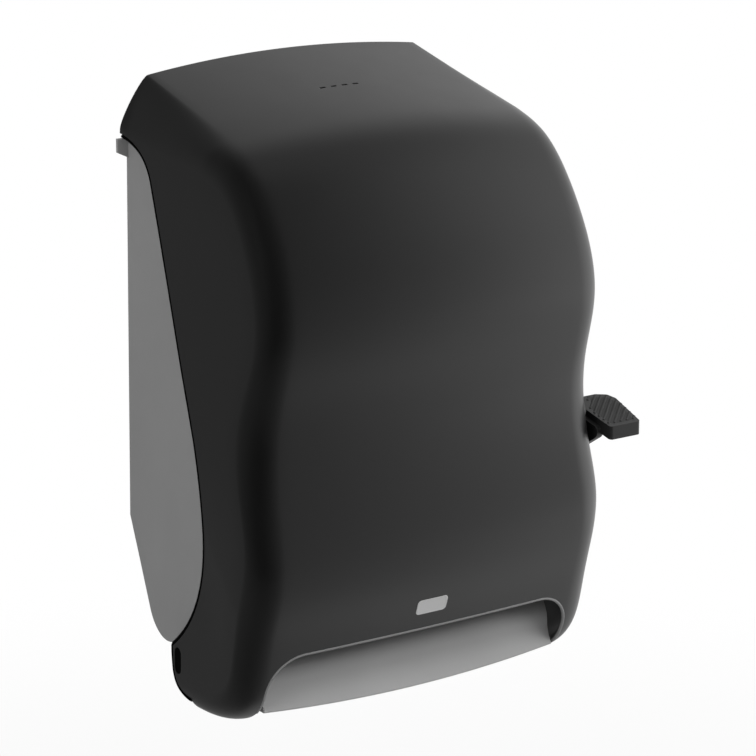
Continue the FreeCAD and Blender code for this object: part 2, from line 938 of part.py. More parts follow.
def pinch_carrier():
    """Tube on the pivot rod with two arms that hold the pinch roller's ends."""
    depth, height = pinch_place()
    inner, outer = pinch_arm_x, pinch_arm_x + pinch_arm_wall
    pivot = (pinch_pivot_depth, pinch_pivot_height)
    tube = rod(pinch_tube_radius, -outer, outer, *pivot)
    across = pinch_arm_half_width
    run = Vector(0, pinch_pivot_depth - depth, height - pinch_pivot_height)
    aside = Vector(0, -run.z, run.y) / run.Length * across
    start, end = at(inner, *pivot), at(inner, depth, height)
    corners = [start + aside, end + aside, end - aside, start - aside]
    web = Part.Face(Part.makePolygon(corners + corners[:1])).extrude(Vector(pinch_arm_wall, 0, 0))
    arm = fuse(web, rod(across, inner, outer, *pivot), rod(across, inner, outer, depth, height))
    body = fuse(tube, arm, mirrored(arm))
    bore = rod(pinch_rod_radius + running_gap, -FAR, FAR, *pivot)
    journal = rod(pinch_shaft_radius + running_gap, -FAR, FAR, depth, height)
    return cut(body, bore, journal)


def pinch_rod():
    reach = frame_x + frame_wall
    return rod(pinch_rod_radius, -reach, reach, pinch_pivot_depth, pinch_pivot_height)


# Springs

def coil(radius, turns, room):
    """A coil of square wire that fills a room from zero upwards along Z."""
    half = spring_wire / 2
    steps = turns * spring_steps
    sections = []
    for step in range(steps + 1):
        angle = 2 * math.pi * step / spring_steps
        out = Vector(math.cos(angle), math.sin(angle), 0)
        centre = out * radius + Vector(0, 0, half + (room - spring_wire) * step / steps)
        up = Vector(0, 0, half)
        side = out * half
        corners = [centre - side - up, centre + side - up, centre + side + up, centre - side + up]
        sections.append(Part.makePolygon(corners + corners[:1]))
    return Part.makeLoft(sections, True, True)


def coil_along_x(radius, turns, x_low, x_high, depth, height):
    spring = coil(radius, turns, x_high - x_low)
    spring.rotate(Vector(0, 0, 0), Vector(0, 1, 0), 90)
    spring.translate(at(x_low, depth, height))
    return spring


def coil_round(shaft_radius):
    """Radius of a coil that clears the shaft inside it."""
    return shaft_radius + side_gap + spring_wire / 2


def pinch_spring():
    low = pinch_arm_x + pinch_arm_wall + side_gap
    high = frame_x - side_gap
    return coil_along_x(coil_round(pinch_rod_radius), 3, low, high, pinch_pivot_depth, pinch_pivot_height)


# Transfer bar

def transfer_bar():
    """Comb that hangs in front of the feed roller and tucks a new sheet into it."""
    half = frame_x - side_gap
    hub = transfer_pivot_radius + 1
    bar = rod(hub, -half, half, transfer_depth, transfer_height)
    ends = frame_x + frame_wall
    pins = rod(transfer_pivot_radius, -ends, ends, transfer_depth, transfer_height)
    low = transfer_height - transfer_drop
    comb = box(
        -half, half, transfer_depth - transfer_wall / 2, transfer_depth + transfer_wall / 2,
        low, transfer_height,
    )
    notches = []
    count = int(2 * half / transfer_notch_pitch)
    for index in range(count):
        x = (index - (count - 1) / 2) * transfer_notch_pitch
        notches.append(box(
            x - transfer_notch_width / 2, x + transfer_notch_width / 2,
            transfer_depth - 9, transfer_depth + 9, low - 1, low + transfer_drop / 2,
        ))
    return cut(fuse(bar, pins, comb), *notches)


# Gears

def tooth_half_angle(radius, pitch_radius, teeth):
    """Half of a tooth's angle at one radius, from the involute."""
    base = pitch_radius * math.cos(math.radians(pressure_angle))
    slope = math.acos(base / max(radius, base))
    full = math.radians(pressure_angle)
    half = math.pi / (2 * teeth) - gear_backlash / 2 / pitch_radius
    return half + math.tan(full) - full - math.tan(slope) + slope


def tooth_points(middle, teeth):
    """One tooth's outline round a gear's centre as radius and angle, root to root."""
    pitch_radius = gear_module * teeth / 2
    root = pitch_radius - 1.25 * gear_module
    tip = pitch_radius + gear_module
    levels = [root, pitch_radius - 0.5 * gear_module, pitch_radius + 0.3 * gear_module, tip]
    rising = [(level, middle - tooth_half_angle(level, pitch_radius, teeth)) for level in levels]
    falling = [(level, middle + tooth_half_angle(level, pitch_radius, teeth)) for level in reversed(levels)]
    return rising + falling


def gear_plate(points, depth, height, x_low, x_high):
    """A flat gear from radii and angles, the angles counted from straight forward downwards."""
    outline = []
    for radius, angle in points:
        outline.append((depth + radius * math.cos(angle), height - radius * math.sin(angle)))
    return side_plate(outline, x_low, x_high)


def drive_pinion():
    """Pinion with a tooth gap on the line to the lever's pivot."""
    line = math.radians(gear_line() + 180)
    points = []
    for index in range(pinion_teeth):
        points += tooth_points(line + 2 * math.pi * (index + 0.5) / pinion_teeth, pinion_teeth)
    middle = sector_x + sector_width / 2
    low, high = middle - pinion_width / 2, middle + pinion_width / 2
    return gear_plate(points, feed_depth, feed_height, low, high).cut(
        rod(clutch_radius, low, high, feed_depth, feed_height)
    )


def one_way_clutch():
    middle = sector_x + sector_width / 2
    low, high = middle - pinion_width / 2, middle + pinion_width / 2
    return ring(feed_shaft_radius + running_gap, clutch_radius, low, high, feed_depth, feed_height)


def drive_sector():
    """Toothed sector on the lever's shaft with a tooth on the line to the feed roller."""
    line = math.radians(gear_line())
    pitch = 2 * math.pi / sector_full_teeth
    points = []
    for index in range(sector_teeth):
        back = index - (sector_teeth - 1 - sector_teeth_past)
        points += tooth_points(line + pitch * back, sector_full_teeth)
    depth = lever_depth()
    hub_side = 0.8 * sector_hub_radius
    spread = math.radians(70)
    points += [(hub_side, points[-1][1] + spread), (hub_side, points[0][1] - spread)]
    web = gear_plate(points, depth, lever_height, sector_x, sector_x + sector_width)
    middle = (points[0][1] + points[-3][1]) / 2
    windows = []
    for angle in (middle - sector_window_angle, middle + sector_window_angle):
        windows.append(rod(
            sector_window_radius, sector_x, sector_x + sector_width,
            depth + sector_window_reach * math.cos(angle),
            lever_height - sector_window_reach * math.sin(angle),
        ))
    hub = rod(sector_hub_radius, sector_hub_start, sector_hub_start + sector_hub_length, depth, lever_height)
    bore = rod(lever_shaft_radius, 0, FAR, depth, lever_height)
    return cut(fuse(cut(web, *windows), hub), bore)


# Lever

def lever_shaft():
    left = frame_x - bush_flange_wall - side_gap - clip_wall - 1
    return rod(lever_shaft_radius, left, lever_arm_x + lever_arm_wall, lever_depth(), lever_height)


def lever_clip():
    x = frame_x - bush_flange_wall - side_gap - clip_wall
    return clip(lever_shaft_radius, x, lever_depth(), lever_height)


def paddle_plan(border):
    """The paddle seen from above, pulled in by the border."""
    inner, outer = paddle_inner_x + border, paddle_outer_x - border
    back, front = paddle_back_depth + border, paddle_front_depth - border
    return [
        at(inner, front, 0),
        at(outer - 6, front, 0),
        at(outer, back + 12 + border, 0),
        at(outer - 3, back + 4, 0),
        at(outer - 12, back, 0),
        at(inner + 12, back, 0),
        at(inner, back + 20, 0),
    ]


def sloped_slab(top, thickness):
    """A slab under the paddle's top plane, which falls towards the front."""
    back, front = paddle_back_depth - 40, paddle_front_depth + 40
    fall = paddle_fall / (paddle_front_depth - paddle_back_depth)
    high = top + 40 * fall
    low = high - fall * (front - back)
    outline = [(back, high), (front, low), (front, low - thickness), (back, high - thickness)]
    return side_plate(outline, 0, FAR)


def paddle_block(border, top, thickness):
    points = paddle_plan(border)
    column = Part.Face(Part.makePolygon(points + points[:1])).extrude(Vector(0, 0, 2 * FAR))
    corners = [edge for edge in column.Edges if edge.BoundBox.ZLength > FAR]
    column = column.makeFillet(3.0, corners)
    return column.common(sloped_slab(top, thickness))


def lever_arm():
    """Cranked arm outside the cover, from the hub up to the paddle."""
    depth = lever_depth()
    radius = lever_hub_radius
    low_x, high_x = lever_arm_x, lever_arm_x + lever_arm_wall
    bottom = paddle_height - paddle_fall - paddle_thickness
    outline = [
        (depth - 4, lever_height + radius - 0.6),
        (paddle_back_depth + 4, paddle_height - 6),
        (paddle_front_depth - 8, bottom + 7),
        (paddle_front_depth - 14, bottom - 1),
        (paddle_back_depth + 22, bottom - 12),
        (depth + 4, lever_height - radius + 0.6),
    ]
    plate = side_plate(outline, low_x, high_x)
    across = [edge for edge in plate.Edges if edge.BoundBox.XLength > 1]
    corners = [edge for edge in across if edge.BoundBox.YMin < -depth - 20]
    return fuse(plate.makeFillet(5.0, corners), rod(radius, low_x, high_x, depth, lever_height))


def lever():
    """Arm and paddle in one moulding, with a recess for the grip."""
    paddle = paddle_block(0, paddle_height, paddle_thickness)
    body = fuse(lever_arm(), paddle)
    recess = paddle_block(grip_border, paddle_height + 5, grip_recess + 5)
    bore = rod(lever_shaft_radius, 0, FAR, lever_depth(), lever_height)
    return cut(body, recess, bore)


def lever_grip():
    return paddle_block(grip_border, paddle_height, grip_recess)


def lever_screw():
    """Button screw in the shaft's end, over the lever's hub."""
    x = lever_arm_x + lever_arm_wall
    return rod(1.6 * lever_shaft_radius, x, x + screw_head_height, lever_depth(), lever_height)


def lever_spring():
    """Torsion spring round the shaft between the sector's hub and the cheek's bush."""
    depth = lever_depth()
    low = sector_hub_start + sector_hub_length + side_gap
    high = cheek_x(depth, lever_height) - cheek_wall - 1 - bush_flange_wall - side_gap
    return coil_along_x(coil_round(lever_shaft_radius), 6, low, high, depth, lever_height)


# Roll holder

def roll_arm():
    """Right arm: a knuckle on its pin, a plate forward and an axle for the hub."""
    low_x, high_x = roll_arm_x, roll_arm_x + roll_arm_wall
    half = roll_arm_half_height
    pin_x = roll_arm_x + roll_arm_wall / 2
    outline = [
        (roll_arm_pin_depth, roll_height + 0.6 * half),
        (roll_depth, roll_height + half),
        (roll_depth, roll_height - half),
        (roll_arm_pin_depth, roll_height - 0.6 * half),
    ]
    plate = side_plate(outline, low_x, high_x)
    nose = rod(half, low_x, high_x, roll_depth, roll_height)
    low = roll_height - bracket_half_height + bracket_lug + side_gap
    knuckle = post(knuckle_radius, pin_x, roll_arm_pin_depth, low, roll_height + knuckle_top)
    tip = roll_half_width + 1 - hub_plug_length - side_gap
    axle = rod(hub_bore_radius, tip, low_x, roll_depth, roll_height)
    shoulder_x = roll_half_width + 1 + hub_flange_wall + side_gap
    shoulder = rod(hub_bore_radius + 3, shoulder_x, low_x, roll_depth, roll_height)
    head = rod(hub_bore_radius + 2, tip - 2, tip, roll_depth, roll_height)
    body = fuse(plate, nose, knuckle, axle, shoulder, head)
    return body.cut(post(roll_arm_pin_radius + running_gap, pin_x, roll_arm_pin_depth, 0, FAR))


def core_hub():
    """Right hub: tapered fins that hold the roll's core, and a flange beside it."""
    flange_x = roll_half_width + 1
    tip = flange_x - hub_plug_length
    radius = hub_plug_radius
    tip_radius = radius - hub_plug_taper
    plan = [(flange_x, radius), (flange_x, -radius), (tip, -tip_radius), (tip, tip_radius)]
    points = [Vector(x, y, -hub_fin_wall / 2) for x, y in plan]
    fin = Part.Face(Part.makePolygon(points + points[:1])).extrude(Vector(0, 0, hub_fin_wall))
    fins = []
    for index in range(hub_fins):
        turned = fin.copy()
        turned.rotate(Vector(0, 0, 0), Vector(1, 0, 0), 180 * index / hub_fins)
        turned.translate(at(0, roll_depth, roll_height))
        fins.append(turned)
    flange = rod(hub_flange_radius, flange_x, flange_x + hub_flange_wall, roll_depth, roll_height)
    tube = rod(hub_bore_radius + 2.5, tip, flange_x, roll_depth, roll_height)
    bore = rod(hub_bore_radius + running_gap, tip - 1, FAR, roll_depth, roll_height)
    return fuse(flange, tube, *fins).cut(bore)


def arm_bracket():
    """Bracket on the wall plate with a lug above and below the arm's knuckle."""
    x = roll_arm_x + roll_arm_wall / 2
    half = bracket_half_height
    radius = knuckle_radius
    seat = plate_wall
    base = box(x - 12, x + 12, seat, seat + bracket_wall, roll_height - half - 4, roll_height + half + 4)
    pieces = [base]
    for low in (roll_height - half, roll_height + half - bracket_lug):
        pieces.append(post(radius, x, roll_arm_pin_depth, low, low + bracket_lug))
        pieces.append(box(x - radius, x + radius, seat + 1, roll_arm_pin_depth, low, low + bracket_lug))
    pin_hole = post(roll_arm_pin_radius, x, roll_arm_pin_depth, 0, FAR + plate_centre_height)
    return fuse(*pieces).cut(pin_hole)


def arm_pin():
    x = roll_arm_x + roll_arm_wall / 2
    half = bracket_half_height
    return post(roll_arm_pin_radius, x, roll_arm_pin_depth, roll_height - half, roll_height + half)


def arm_spring():
    """Spring round the arm's pin, between the knuckle and the upper lug."""
    x = roll_arm_x + roll_arm_wall / 2
    low = roll_height + knuckle_top + side_gap
    high = roll_height + bracket_half_height - bracket_lug - side_gap
    spring = coil(coil_round(roll_arm_pin_radius), 3, high - low)
    spring.translate(at(x, roll_arm_pin_depth, low))
    return spring


def torsion_springs():
    return Part.makeCompound([pair(pinch_spring()), pair(arm_spring()), lever_spring()])


# Chute and blade

def chute_front_points(inset):
    """Front of the chute at the middle, flaring out towards its lower lip."""
    low = -chute_lip_drop
    rise = chute_shelf_height - low
    swing = chute_lip_depth - chute_top_depth
    return [
        at(0, chute_lip_depth - inset, low + inset),
        at(0, chute_lip_depth - 0.13 * swing - inset, low + 0.17 * rise),
        at(0, chute_lip_depth - 0.5 * swing - inset, low + 0.46 * rise),
        at(0, chute_lip_depth - 0.84 * swing - inset, low + 0.77 * rise),
        at(0, chute_top_depth - inset, low + rise - inset),
    ]


def chute_block(inset, half_width):
    """The chute as a full block, bowed forward in plan."""
    front = chute_front_points(inset)
    back = chute_back_depth - 4 * inset
    edges = [smooth(front).toShape()]
    edges += lined([front[-1], at(0, back, front[-1].z), at(0, back, front[0].z), front[0]])
    face = Part.Face(Part.Wire(Part.__sortEdges__(edges)))
    axis = at(0, chute_lip_depth - chute_plan_radius, 0)
    spread = 2 * math.degrees(math.asin(chute_half_width / (chute_plan_radius / 2)))
    face.rotate(axis, Vector(0, 0, 1), -spread / 2)
    block = face.revolve(axis, Vector(0, 0, 1), spread)
    low = chute_back_depth - chute_back_trim if inset == 0 else 0
    return block.common(box(-half_width, half_width, low, FAR, -FAR, FAR))


def paper_chute():
    shell = chute_block(0.0, chute_half_width).cut(chute_block(chute_wall, chute_half_width - chute_wall))
    shelf = chute_shelf_height
    holes = []
    for x, depth in frame_foot_screw_places():
        hole = post(screw_radius, x, depth, shelf - 9, shelf + 9)
        holes += [hole, mirrored(hole)]
    return cut(shell, *holes)


def crossbar_top():
    return blade_edge_height + blade_height + 2


def crossbar_screw_place():
    return blade_depth - crossbar_depth / 2, crossbar_top() - crossbar_height / 2


def crossbar_screw_holes():
    return [rod(screw_radius, frame_x - 12, frame_x + frame_wall + 1, *crossbar_screw_place())]


def crossbar():
    """Bar between the frames that the blade is fixed to."""
    top = crossbar_top()
    bar = box(-frame_x, frame_x, blade_depth - crossbar_depth, blade_depth, top - crossbar_height, top)
    hole = crossbar_screw_holes()[0]
    return cut(bar, hole, mirrored(hole), *blade_screw_holes())


def crossbar_screws():
    seat = at(frame_x + frame_wall, *crossbar_screw_place())
    return pair(screw(seat, Vector(1, 0, 0), frame_wall + 10))


def blade_screw_xs():
    return [-0.85 * frame_x, -0.3 * frame_x, 0.3 * frame_x, 0.85 * frame_x]


def blade_screw_holes():
    height = blade_edge_height + blade_height - 4
    return [stud(screw_radius, x, height, blade_depth - 6, blade_depth + 9) for x in blade_screw_xs()]


def cutter_blade():
    """Steel strip with a row of pointed teeth along its lower edge."""
    half = frame_x - 1
    count = int(2 * half / blade_pitch)
    start = -count * blade_pitch / 2
    low = blade_edge_height
    points = [at(start, blade_depth, low + blade_tooth)]
    for index in range(count):
        x = start + index * blade_pitch
        points.append(at(x + blade_pitch / 2, blade_depth, low))
        points.append(at(x + blade_pitch, blade_depth, low + blade_tooth))
    points += [at(-start, blade_depth, low + blade_height), at(start, blade_depth, low + blade_height)]
    strip = Part.Face(Part.makePolygon(points + points[:1])).extrude(Vector(0, -blade_wall, 0))
    return cut(strip, *blade_screw_holes())


def blade_screws():
    height = blade_edge_height + blade_height - 4
    seat = blade_depth + blade_wall
    xs = blade_screw_xs()
    return Part.makeCompound([screw(at(x, seat, height), Vector(0, -1, 0), blade_wall + 5) for x in xs])


# Lock

def latch_keeper():
    """Angled catch on the wall plate, with a lip that the lock's hook sits behind."""
    half = keeper_half_width
    top = keeper_height + keeper_wall
    seat = plate_wall
    back = box(-half, half, seat, seat + keeper_wall, plate_top_height - keeper_foot_drop, top)
    shelf = box(-half, half, seat, keeper_reach, keeper_height, top)
    lip = box(-half, half, keeper_reach - keeper_wall, keeper_reach, keeper_height - keeper_drop, top)
    return cut(fuse(back, shelf, lip), *keeper_screw_holes())


def keeper_screw_holes():
    height = plate_top_height - keeper_screw_drop
    return [stud(screw_radius, x, height, 0, 12) for x in (-keeper_screw_x, keeper_screw_x)]


def keeper_screws():
    height = plate_top_height - keeper_screw_drop
    seat = plate_wall + keeper_wall
    return Part.makeCompound([wall_screw(x, height, seat) for x in (-keeper_screw_x, keeper_screw_x)])


def lock_housing():
    """Open-topped box under the cover's top, cut to the cover's inner face."""
    half_x, half_d = lock_half_width, lock_half_depth
    wall = lock_wall
    low = lock_floor_height
    outside = box(-half_x, half_x, lock_depth - half_d, lock_depth + half_d, low, FAR + 100)
    inside = box(
        -half_x + wall, half_x - wall, lock_depth - half_d + wall, lock_depth + half_d - wall,
        low + wall, FAR + 100,
    )
    window = box(
        -hook_half_width - 1, hook_half_width + 1, lock_depth - half_d - 1, lock_depth - half_d + wall + 1,
        lock_slide_height - lock_travel - 1, FAR + 100,
    )
    return cut(outside, inside, window).common(cover_block(cover_wall, False))


def lock_slide():
    """Plate that the key presses down, with an arm back to the keeper and a hook up behind its lip."""
    gap = side_gap
    half_x = lock_half_width - lock_wall - gap
    half_d = lock_half_depth - lock_wall - gap
    low, high = lock_slide_height, lock_slide_height + lock_slide_thickness
    plate = box(-half_x, half_x, lock_depth - half_d, lock_depth + half_d, low, high)
    hook_depth = keeper_reach - keeper_wall - 1
    arm_top = keeper_height - keeper_drop - 2.5
    arm = box(-hook_half_width, hook_half_width, hook_depth - hook_wall, lock_depth, low, arm_top)
    hook = box(
        -hook_half_width, hook_half_width, hook_depth - hook_wall, hook_depth, low, keeper_height - 1
    )
    return fuse(plate, arm, hook)


def lock_spring():
    """Arched leaf that lifts the slide off the housing's floor."""
    half = lock_half_width - lock_wall - 3
    low, high = lock_floor_height + lock_wall, lock_slide_height
    depth = lock_depth - leaf_width / 2
    outer = Part.Arc(at(-half, depth, low), at(0, depth, high), at(half, depth, low)).toShape()
    inner_half = half - leaf_wall * 2
    crown = at(0, depth, high - leaf_wall)
    inner = Part.Arc(at(-inner_half, depth, low), crown, at(inner_half, depth, low)).toShape()
    feet = []
    for side in (-1, 1):
        feet.append(Part.makeLine(at(side * half, depth, low), at(side * inner_half, depth, low)))
    face = Part.Face(Part.Wire(Part.__sortEdges__([outer, inner] + feet)))
    return face.extrude(Vector(0, -leaf_width, 0))


def build():
    os.makedirs("parts", exist_ok=True)
    save("back_plate", back_plate())
    save("left_cheek", mirrored(right_cheek_sheet()))
    save("right_cheek", right_cheek())
    save("cheek_screws", cheek_screws())
    save("hinge_pins", hinge_pins())
    save("left_side_frame", mirrored(side_frame()))
    save("right_side_frame", right_side_frame())
    save("frame_screws", frame_screws())
    save("chute_screws", chute_screws())
    save("paper_chute", paper_chute())
    save("blade_crossbar", crossbar())
    save("crossbar_screws", crossbar_screws())
    save("cutter_blade", cutter_blade())
    save("blade_screws", blade_screws())
    save("shaft_bushes", shaft_bushes())
    save("latch_keeper", latch_keeper())
    save("keeper_screws", keeper_screws())
    save("roll_arm_brackets", pair(arm_bracket()))
    save("roll_arm_pins", pair(arm_pin()))
    save("torsion_springs", torsion_springs())
    save("pinch_pivot_rod", pinch_rod())
    save("front_cover", front_cover())
    save("lock_housing", lock_housing())
    save("lock_slide", lock_slide())
    save("lock_spring", lock_spring())
    save("lever", lever())
    save("lever_grip", lever_grip())
    save("lever_shaft", lever_shaft())
    save("lever_screw", lever_screw())
    save("lever_clip", lever_clip())
    save("drive_sector", drive_sector())
    save("drive_pinion", drive_pinion())
    save("one_way_clutch", one_way_clutch())
    save("feed_shaft", feed_shaft())
    save("feed_roller", feed_roller())
    save("feed_sleeves", feed_sleeves())
    save("feed_thumbwheel", feed_thumbwheel())
    save("feed_clip", feed_clip())
    save("pinch_carrier", pinch_carrier())
    save("pinch_roller", pinch_roller())
    save("transfer_bar", transfer_bar())
    save("right_roll_arm", roll_arm())
    save("left_roll_arm", mirrored(roll_arm()))
    save("right_core_hub", core_hub())
    save("left_core_hub", mirrored(core_hub()))


build()
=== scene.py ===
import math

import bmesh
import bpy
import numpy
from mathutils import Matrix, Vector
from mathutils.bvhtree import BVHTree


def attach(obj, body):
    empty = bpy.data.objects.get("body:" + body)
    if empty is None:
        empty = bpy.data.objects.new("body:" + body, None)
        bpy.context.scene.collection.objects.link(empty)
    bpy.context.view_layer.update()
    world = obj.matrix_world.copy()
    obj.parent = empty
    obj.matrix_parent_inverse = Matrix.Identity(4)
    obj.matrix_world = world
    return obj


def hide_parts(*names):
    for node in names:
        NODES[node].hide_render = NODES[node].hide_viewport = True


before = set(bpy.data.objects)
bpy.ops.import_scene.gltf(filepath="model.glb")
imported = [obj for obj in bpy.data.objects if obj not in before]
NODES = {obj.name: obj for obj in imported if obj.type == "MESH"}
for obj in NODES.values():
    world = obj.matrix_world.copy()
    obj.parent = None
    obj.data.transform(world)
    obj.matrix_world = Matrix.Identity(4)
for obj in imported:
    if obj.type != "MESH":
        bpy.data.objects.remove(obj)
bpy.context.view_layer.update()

# Cover, chute, trim, finishes, light and camera for the lever paper towel dispenser.
#
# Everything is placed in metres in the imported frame: X to the right, Y into the wall, Z up, with the
# middle of the back plate at the origin. Sizes of the pieces are written in millimetres, as depth out
# from the wall and as height over a level that is PLATE_CENTRE below the middle of the back plate.
# The camera's distance and reach, the floor, the lamps and the lengths in the finishes are in metres.

MM = 0.001
PLATE_CENTRE = 290.0

CAMERA_TURN = math.radians(-33.0)
CAMERA_LIFT = math.radians(16.6066)
CAMERA_DISTANCE = 2.58668
CAMERA_AIM = (0.0, 138.6, 240.0)
CAMERA_LENS = 157.39
CAMERA_SENSOR = 36.0
CAMERA_REACH = (0.1, 60.0)

COVER_HALF_WIDTH = 164.0
COVER_WALL = 3.0
COVER_SINK = 0.35
COVER_TOP = 471.5
COVER_CORNER = 25.0
COVER_CROWN = 9.0
COVER_BOW = 5.0
COVER_LEAN_BACK = 17.0
COVER_LEAN_FRONT = 22.0
COVER_LEAN_START = 90.0
COVER_LEAN_GROWTH = 1.35
COVER_SIDE_BULGE = 1.5
SHOULDER_DROP = 45.0
SHOULDER_WIDTH = 26.0
SHOULDER_REACH = 130.0
SHOULDER_FLATNESS = 0.13
CORE = numpy.array((60.0, 240.0))
CORE_RADIUS = 15.0
FOOT_DEPTH = 196.0
FOOT_DROP = 15.5
UPPER_BULGE = (229.5, 312.0)
WAIST = (211.5, 226.0)
LOWER_BULGE = (224.4, 132.0)
SEAM = [
    (0.0, 425.0), (27.0, 418.5), (48.4, 397.0), (122.5, 219.0),
    (140.5, 150.0), (110.0, 54.5), (91.0, 37.4),
]
SEAM_FIRST_WAY = (1.0, -0.05)
HEEL = [(91.0, 37.4), (93.0, 17.0), (118.0, -3.0)]
HEEL_FIRST_WAY = (0.0, -1.0)
HEEL_GAP_HEIGHT = 10.5
MOUTH_HALF_WIDTH = 140.0
MOUTH_HEIGHT = 54.0
MOUTH_CORNER = 30.0
MOUTH_LOWEST = -62.0
HINGE_PLACE = (102.0, 20.0)
HINGE_PIN_RADIUS = 4.05
DIMPLE_RADIUS = 5.0
DIMPLE_LENGTH = 12.0
DIMPLE_DEPTH = 1.5
DIMPLE_CUT = 9.0
# Size of the black pads that paint the shade in the hinge recesses.
SHADE_PAD_CLEARANCE = 0.25
SHADE_PAD_HEIGHT = 0.5
KEY_SLOT_SIZE = (5.0, 2.2)
KEY_SLOT_PITCH = 10.0
KEY_SLOT_DEPTH = 83.0
KEY_SLOT_COUNT = 4
KEY_SLOT_BELOW_TOP = 20.0
KEY_SLOT_CUT = 60.0
CHEEK_WIDTH_AT_HINGE = 156.6
FAR = 400.0
CURVE_NUDGE = 0.01
INSIDE_OVERRUN = 20.0
SKIN_STEPS = (190, 8, 14, 18)
INSIDE_STEPS = (110, 4, 6, 14)
SKIN_SHARP_ANGLE = 32

SEAM_GAP = 3.0
# Size and place of the black bead that paints the shadow in the seam gap behind the cover's rear edge.
SHADE_BEAD_RADIUS = 2.2
SHADE_BEAD_SINK = 1.92
SHADE_BEAD_STEP_IN = 1.5
SHADE_BEAD_FEELER_IN = 0.3
SHADE_BEAD_LEAST_DEPTH = 0.5
SHADE_BEAD_WALL_CLEARANCE = 0.1
SHADE_BEAD_LEAST_REACH = 100.0
# Size and place of the rolled lip round the mouth; its light grey colour is a painted highlight on that
# edge.
LIP_RADIUS = 1.2
LIP_SINK = 0.6
LIP_STEP = 5.0
LIP_LOWEST = 4.0
LIP_STEP_OUT = 0.3

CHUTE_HALF_WIDTH = 136.0
CHUTE_WALL = 2.5
CHUTE_LIP_DEPTH = 191.0
CHUTE_LIP_BOW = 3.5
CHUTE_LIP_DROP = 1.5
CHUTE_LIP_LIFT = 6.0
CHUTE_LIP_ROUND = 1.2
CHUTE_LIP_BEVEL = 0.3
CHUTE_FLARE = 1.6
CHUTE_FLARE_STEPS = 10
CHUTE_FACE_DEPTH = 181.5
CHUTE_CREASE_HEIGHT = 21.0
CHUTE_SHELF_HEIGHT = 52.0
CHUTE_SHOULDER = (38.0, 28.0)
CHUTE_SHOULDER_STEPS = 8
CHUTE_BACK_DEPTH = 81.0
CHUTE_BACK_OVERRUN = 10.0
CHUTE_HALF_COLUMNS = 24
CHUTE_SHARP_ANGLE = 40

RIB_PITCH = 4.4
RIB_RADIUS = 1.25
RIB_RISE = 0.7
RIB_CENTRE = 188
RIB_MOST_ASIDE = 8
RIB_FIELD = [(173, 210), (200, 210), (204.4, 180), (203.2, 170), (195, 165), (184, 165), (173, 186)]
PADDLE_BACK = (163.0, 201.0)
PADDLE_SLOPE = (10.0, 53.0)
ROD_SIDES = 14
BALL_RINGS = 8

PLATE_PLACE = (0.0, 75.0)
PLATE_SIZE = (28.0, 13.0)
PLATE_CORNER = 3.0
PLATE_RINGS = [(1.0, -0.25), (1.0, 0.38), (0.985, 0.5), (0.9, 0.5), (0.87, 0.35), (0.6, 0.35), (0.3, 0.35)]

FLOOR_LEVEL = -1.2
FLOOR_FADE = (1.5, 2.6)
FLOOR_GREY = 0.8
FLOOR_GLOW = 0.88
SOFT_LIGHT = 0.28
WHEEL_TOP = 2.0
WHEEL = [
    (-180, 0.40), (-147, 0.15), (-120, 0.12), (-90, 0.09), (-60, 0.03), (-33, 0.012),
    (-15, 0.035), (0, 0.09), (14, 0.17), (25, 0.24), (36, 0.5), (47, 1.1),
    (60, 1.6), (90, 1.4), (120, 1.25), (147, 1.0), (180, 0.40),
]
WHEEL_BY_HEIGHT = [
    (-1.0, 0.4), (-0.7, 0.5), (-0.3, 1.0), (0.0, 1.0), (0.42, 0.72), (0.62, 0.55), (0.9, 0.2),
]
GLOSS_THROUGH_FLOOR = 0.9
LAMPS = [
    ("key", (1.6, -1.8, 1.5), (0.05, -0.15, -0.05), (1.2, 1.6), 66),
    ("top", (-0.1, -0.5, 2.0), (0.0, -0.15, 0.0), (1.4, 1.0), 22),
    ("fill", (-2.1, -0.8, 1.1), (0.0, -0.1, -0.05), (1.4, 1.4), 40),
]

EDGE_SAMPLES = 4
CLOUDINESS = 0.07
TOOTH_SHARE = 0.4
RUBBED_BRIGHT = 0.75
ROLLED_GRAIN = 0.00001
PRESSED_EDGE = 0.0002


def at(x, depth, height):
    """Place x to the right, depth out from the wall and height, in mm."""
    return Vector((x * MM, -depth * MM, (height - PLATE_CENTRE) * MM))


# ---------------------------------------------------------------- shader groups


def new_group(name, inputs, outputs):
    """Empty shader group with named sockets, its input and output nodes ready."""
    tree = bpy.data.node_groups.new(name, "ShaderNodeTree")
    for label, kind, value in inputs:
        socket = tree.interface.new_socket(name=label, in_out="INPUT", socket_type=kind)
        socket.default_value = value
    for label, kind in outputs:
        tree.interface.new_socket(name=label, in_out="OUTPUT", socket_type=kind)
    entry = tree.nodes.new("NodeGroupInput")
    way_out = tree.nodes.new("NodeGroupOutput")
    return tree, entry, way_out


def maths(tree, operation, first, second=None, third=None):
    """Math node; each value is a socket or a number."""
    node = tree.nodes.new("ShaderNodeMath")
    node.operation = operation
    for place, value in enumerate((first, second, third)):
        if value is None:
            continue
        if isinstance(value, (int, float)):
            node.inputs[place].default_value = value
        else:
            tree.links.new(value, node.inputs[place])
    return node.outputs[0]


def noise(tree, scale, detail, stretch=None):
    """Noise on the piece's own coordinates. scale is a socket or a number, in lumps a metre."""
    places = tree.nodes.new("ShaderNodeTexCoord").outputs["Object"]
    if stretch:
        mapping = tree.nodes.new("ShaderNodeMapping")
        mapping.inputs["Scale"].default_value = stretch
        tree.links.new(places, mapping.inputs["Vector"])
        places = mapping.outputs["Vector"]
    node = tree.nodes.new("ShaderNodeTexNoise")
    node.inputs["Detail"].default_value = detail
    tree.links.new(places, node.inputs["Vector"])
    if isinstance(scale, (int, float)):
        node.inputs["Scale"].default_value = scale
    else:
        tree.links.new(scale, node.inputs["Scale"])
    return node.outputs["Fac"]


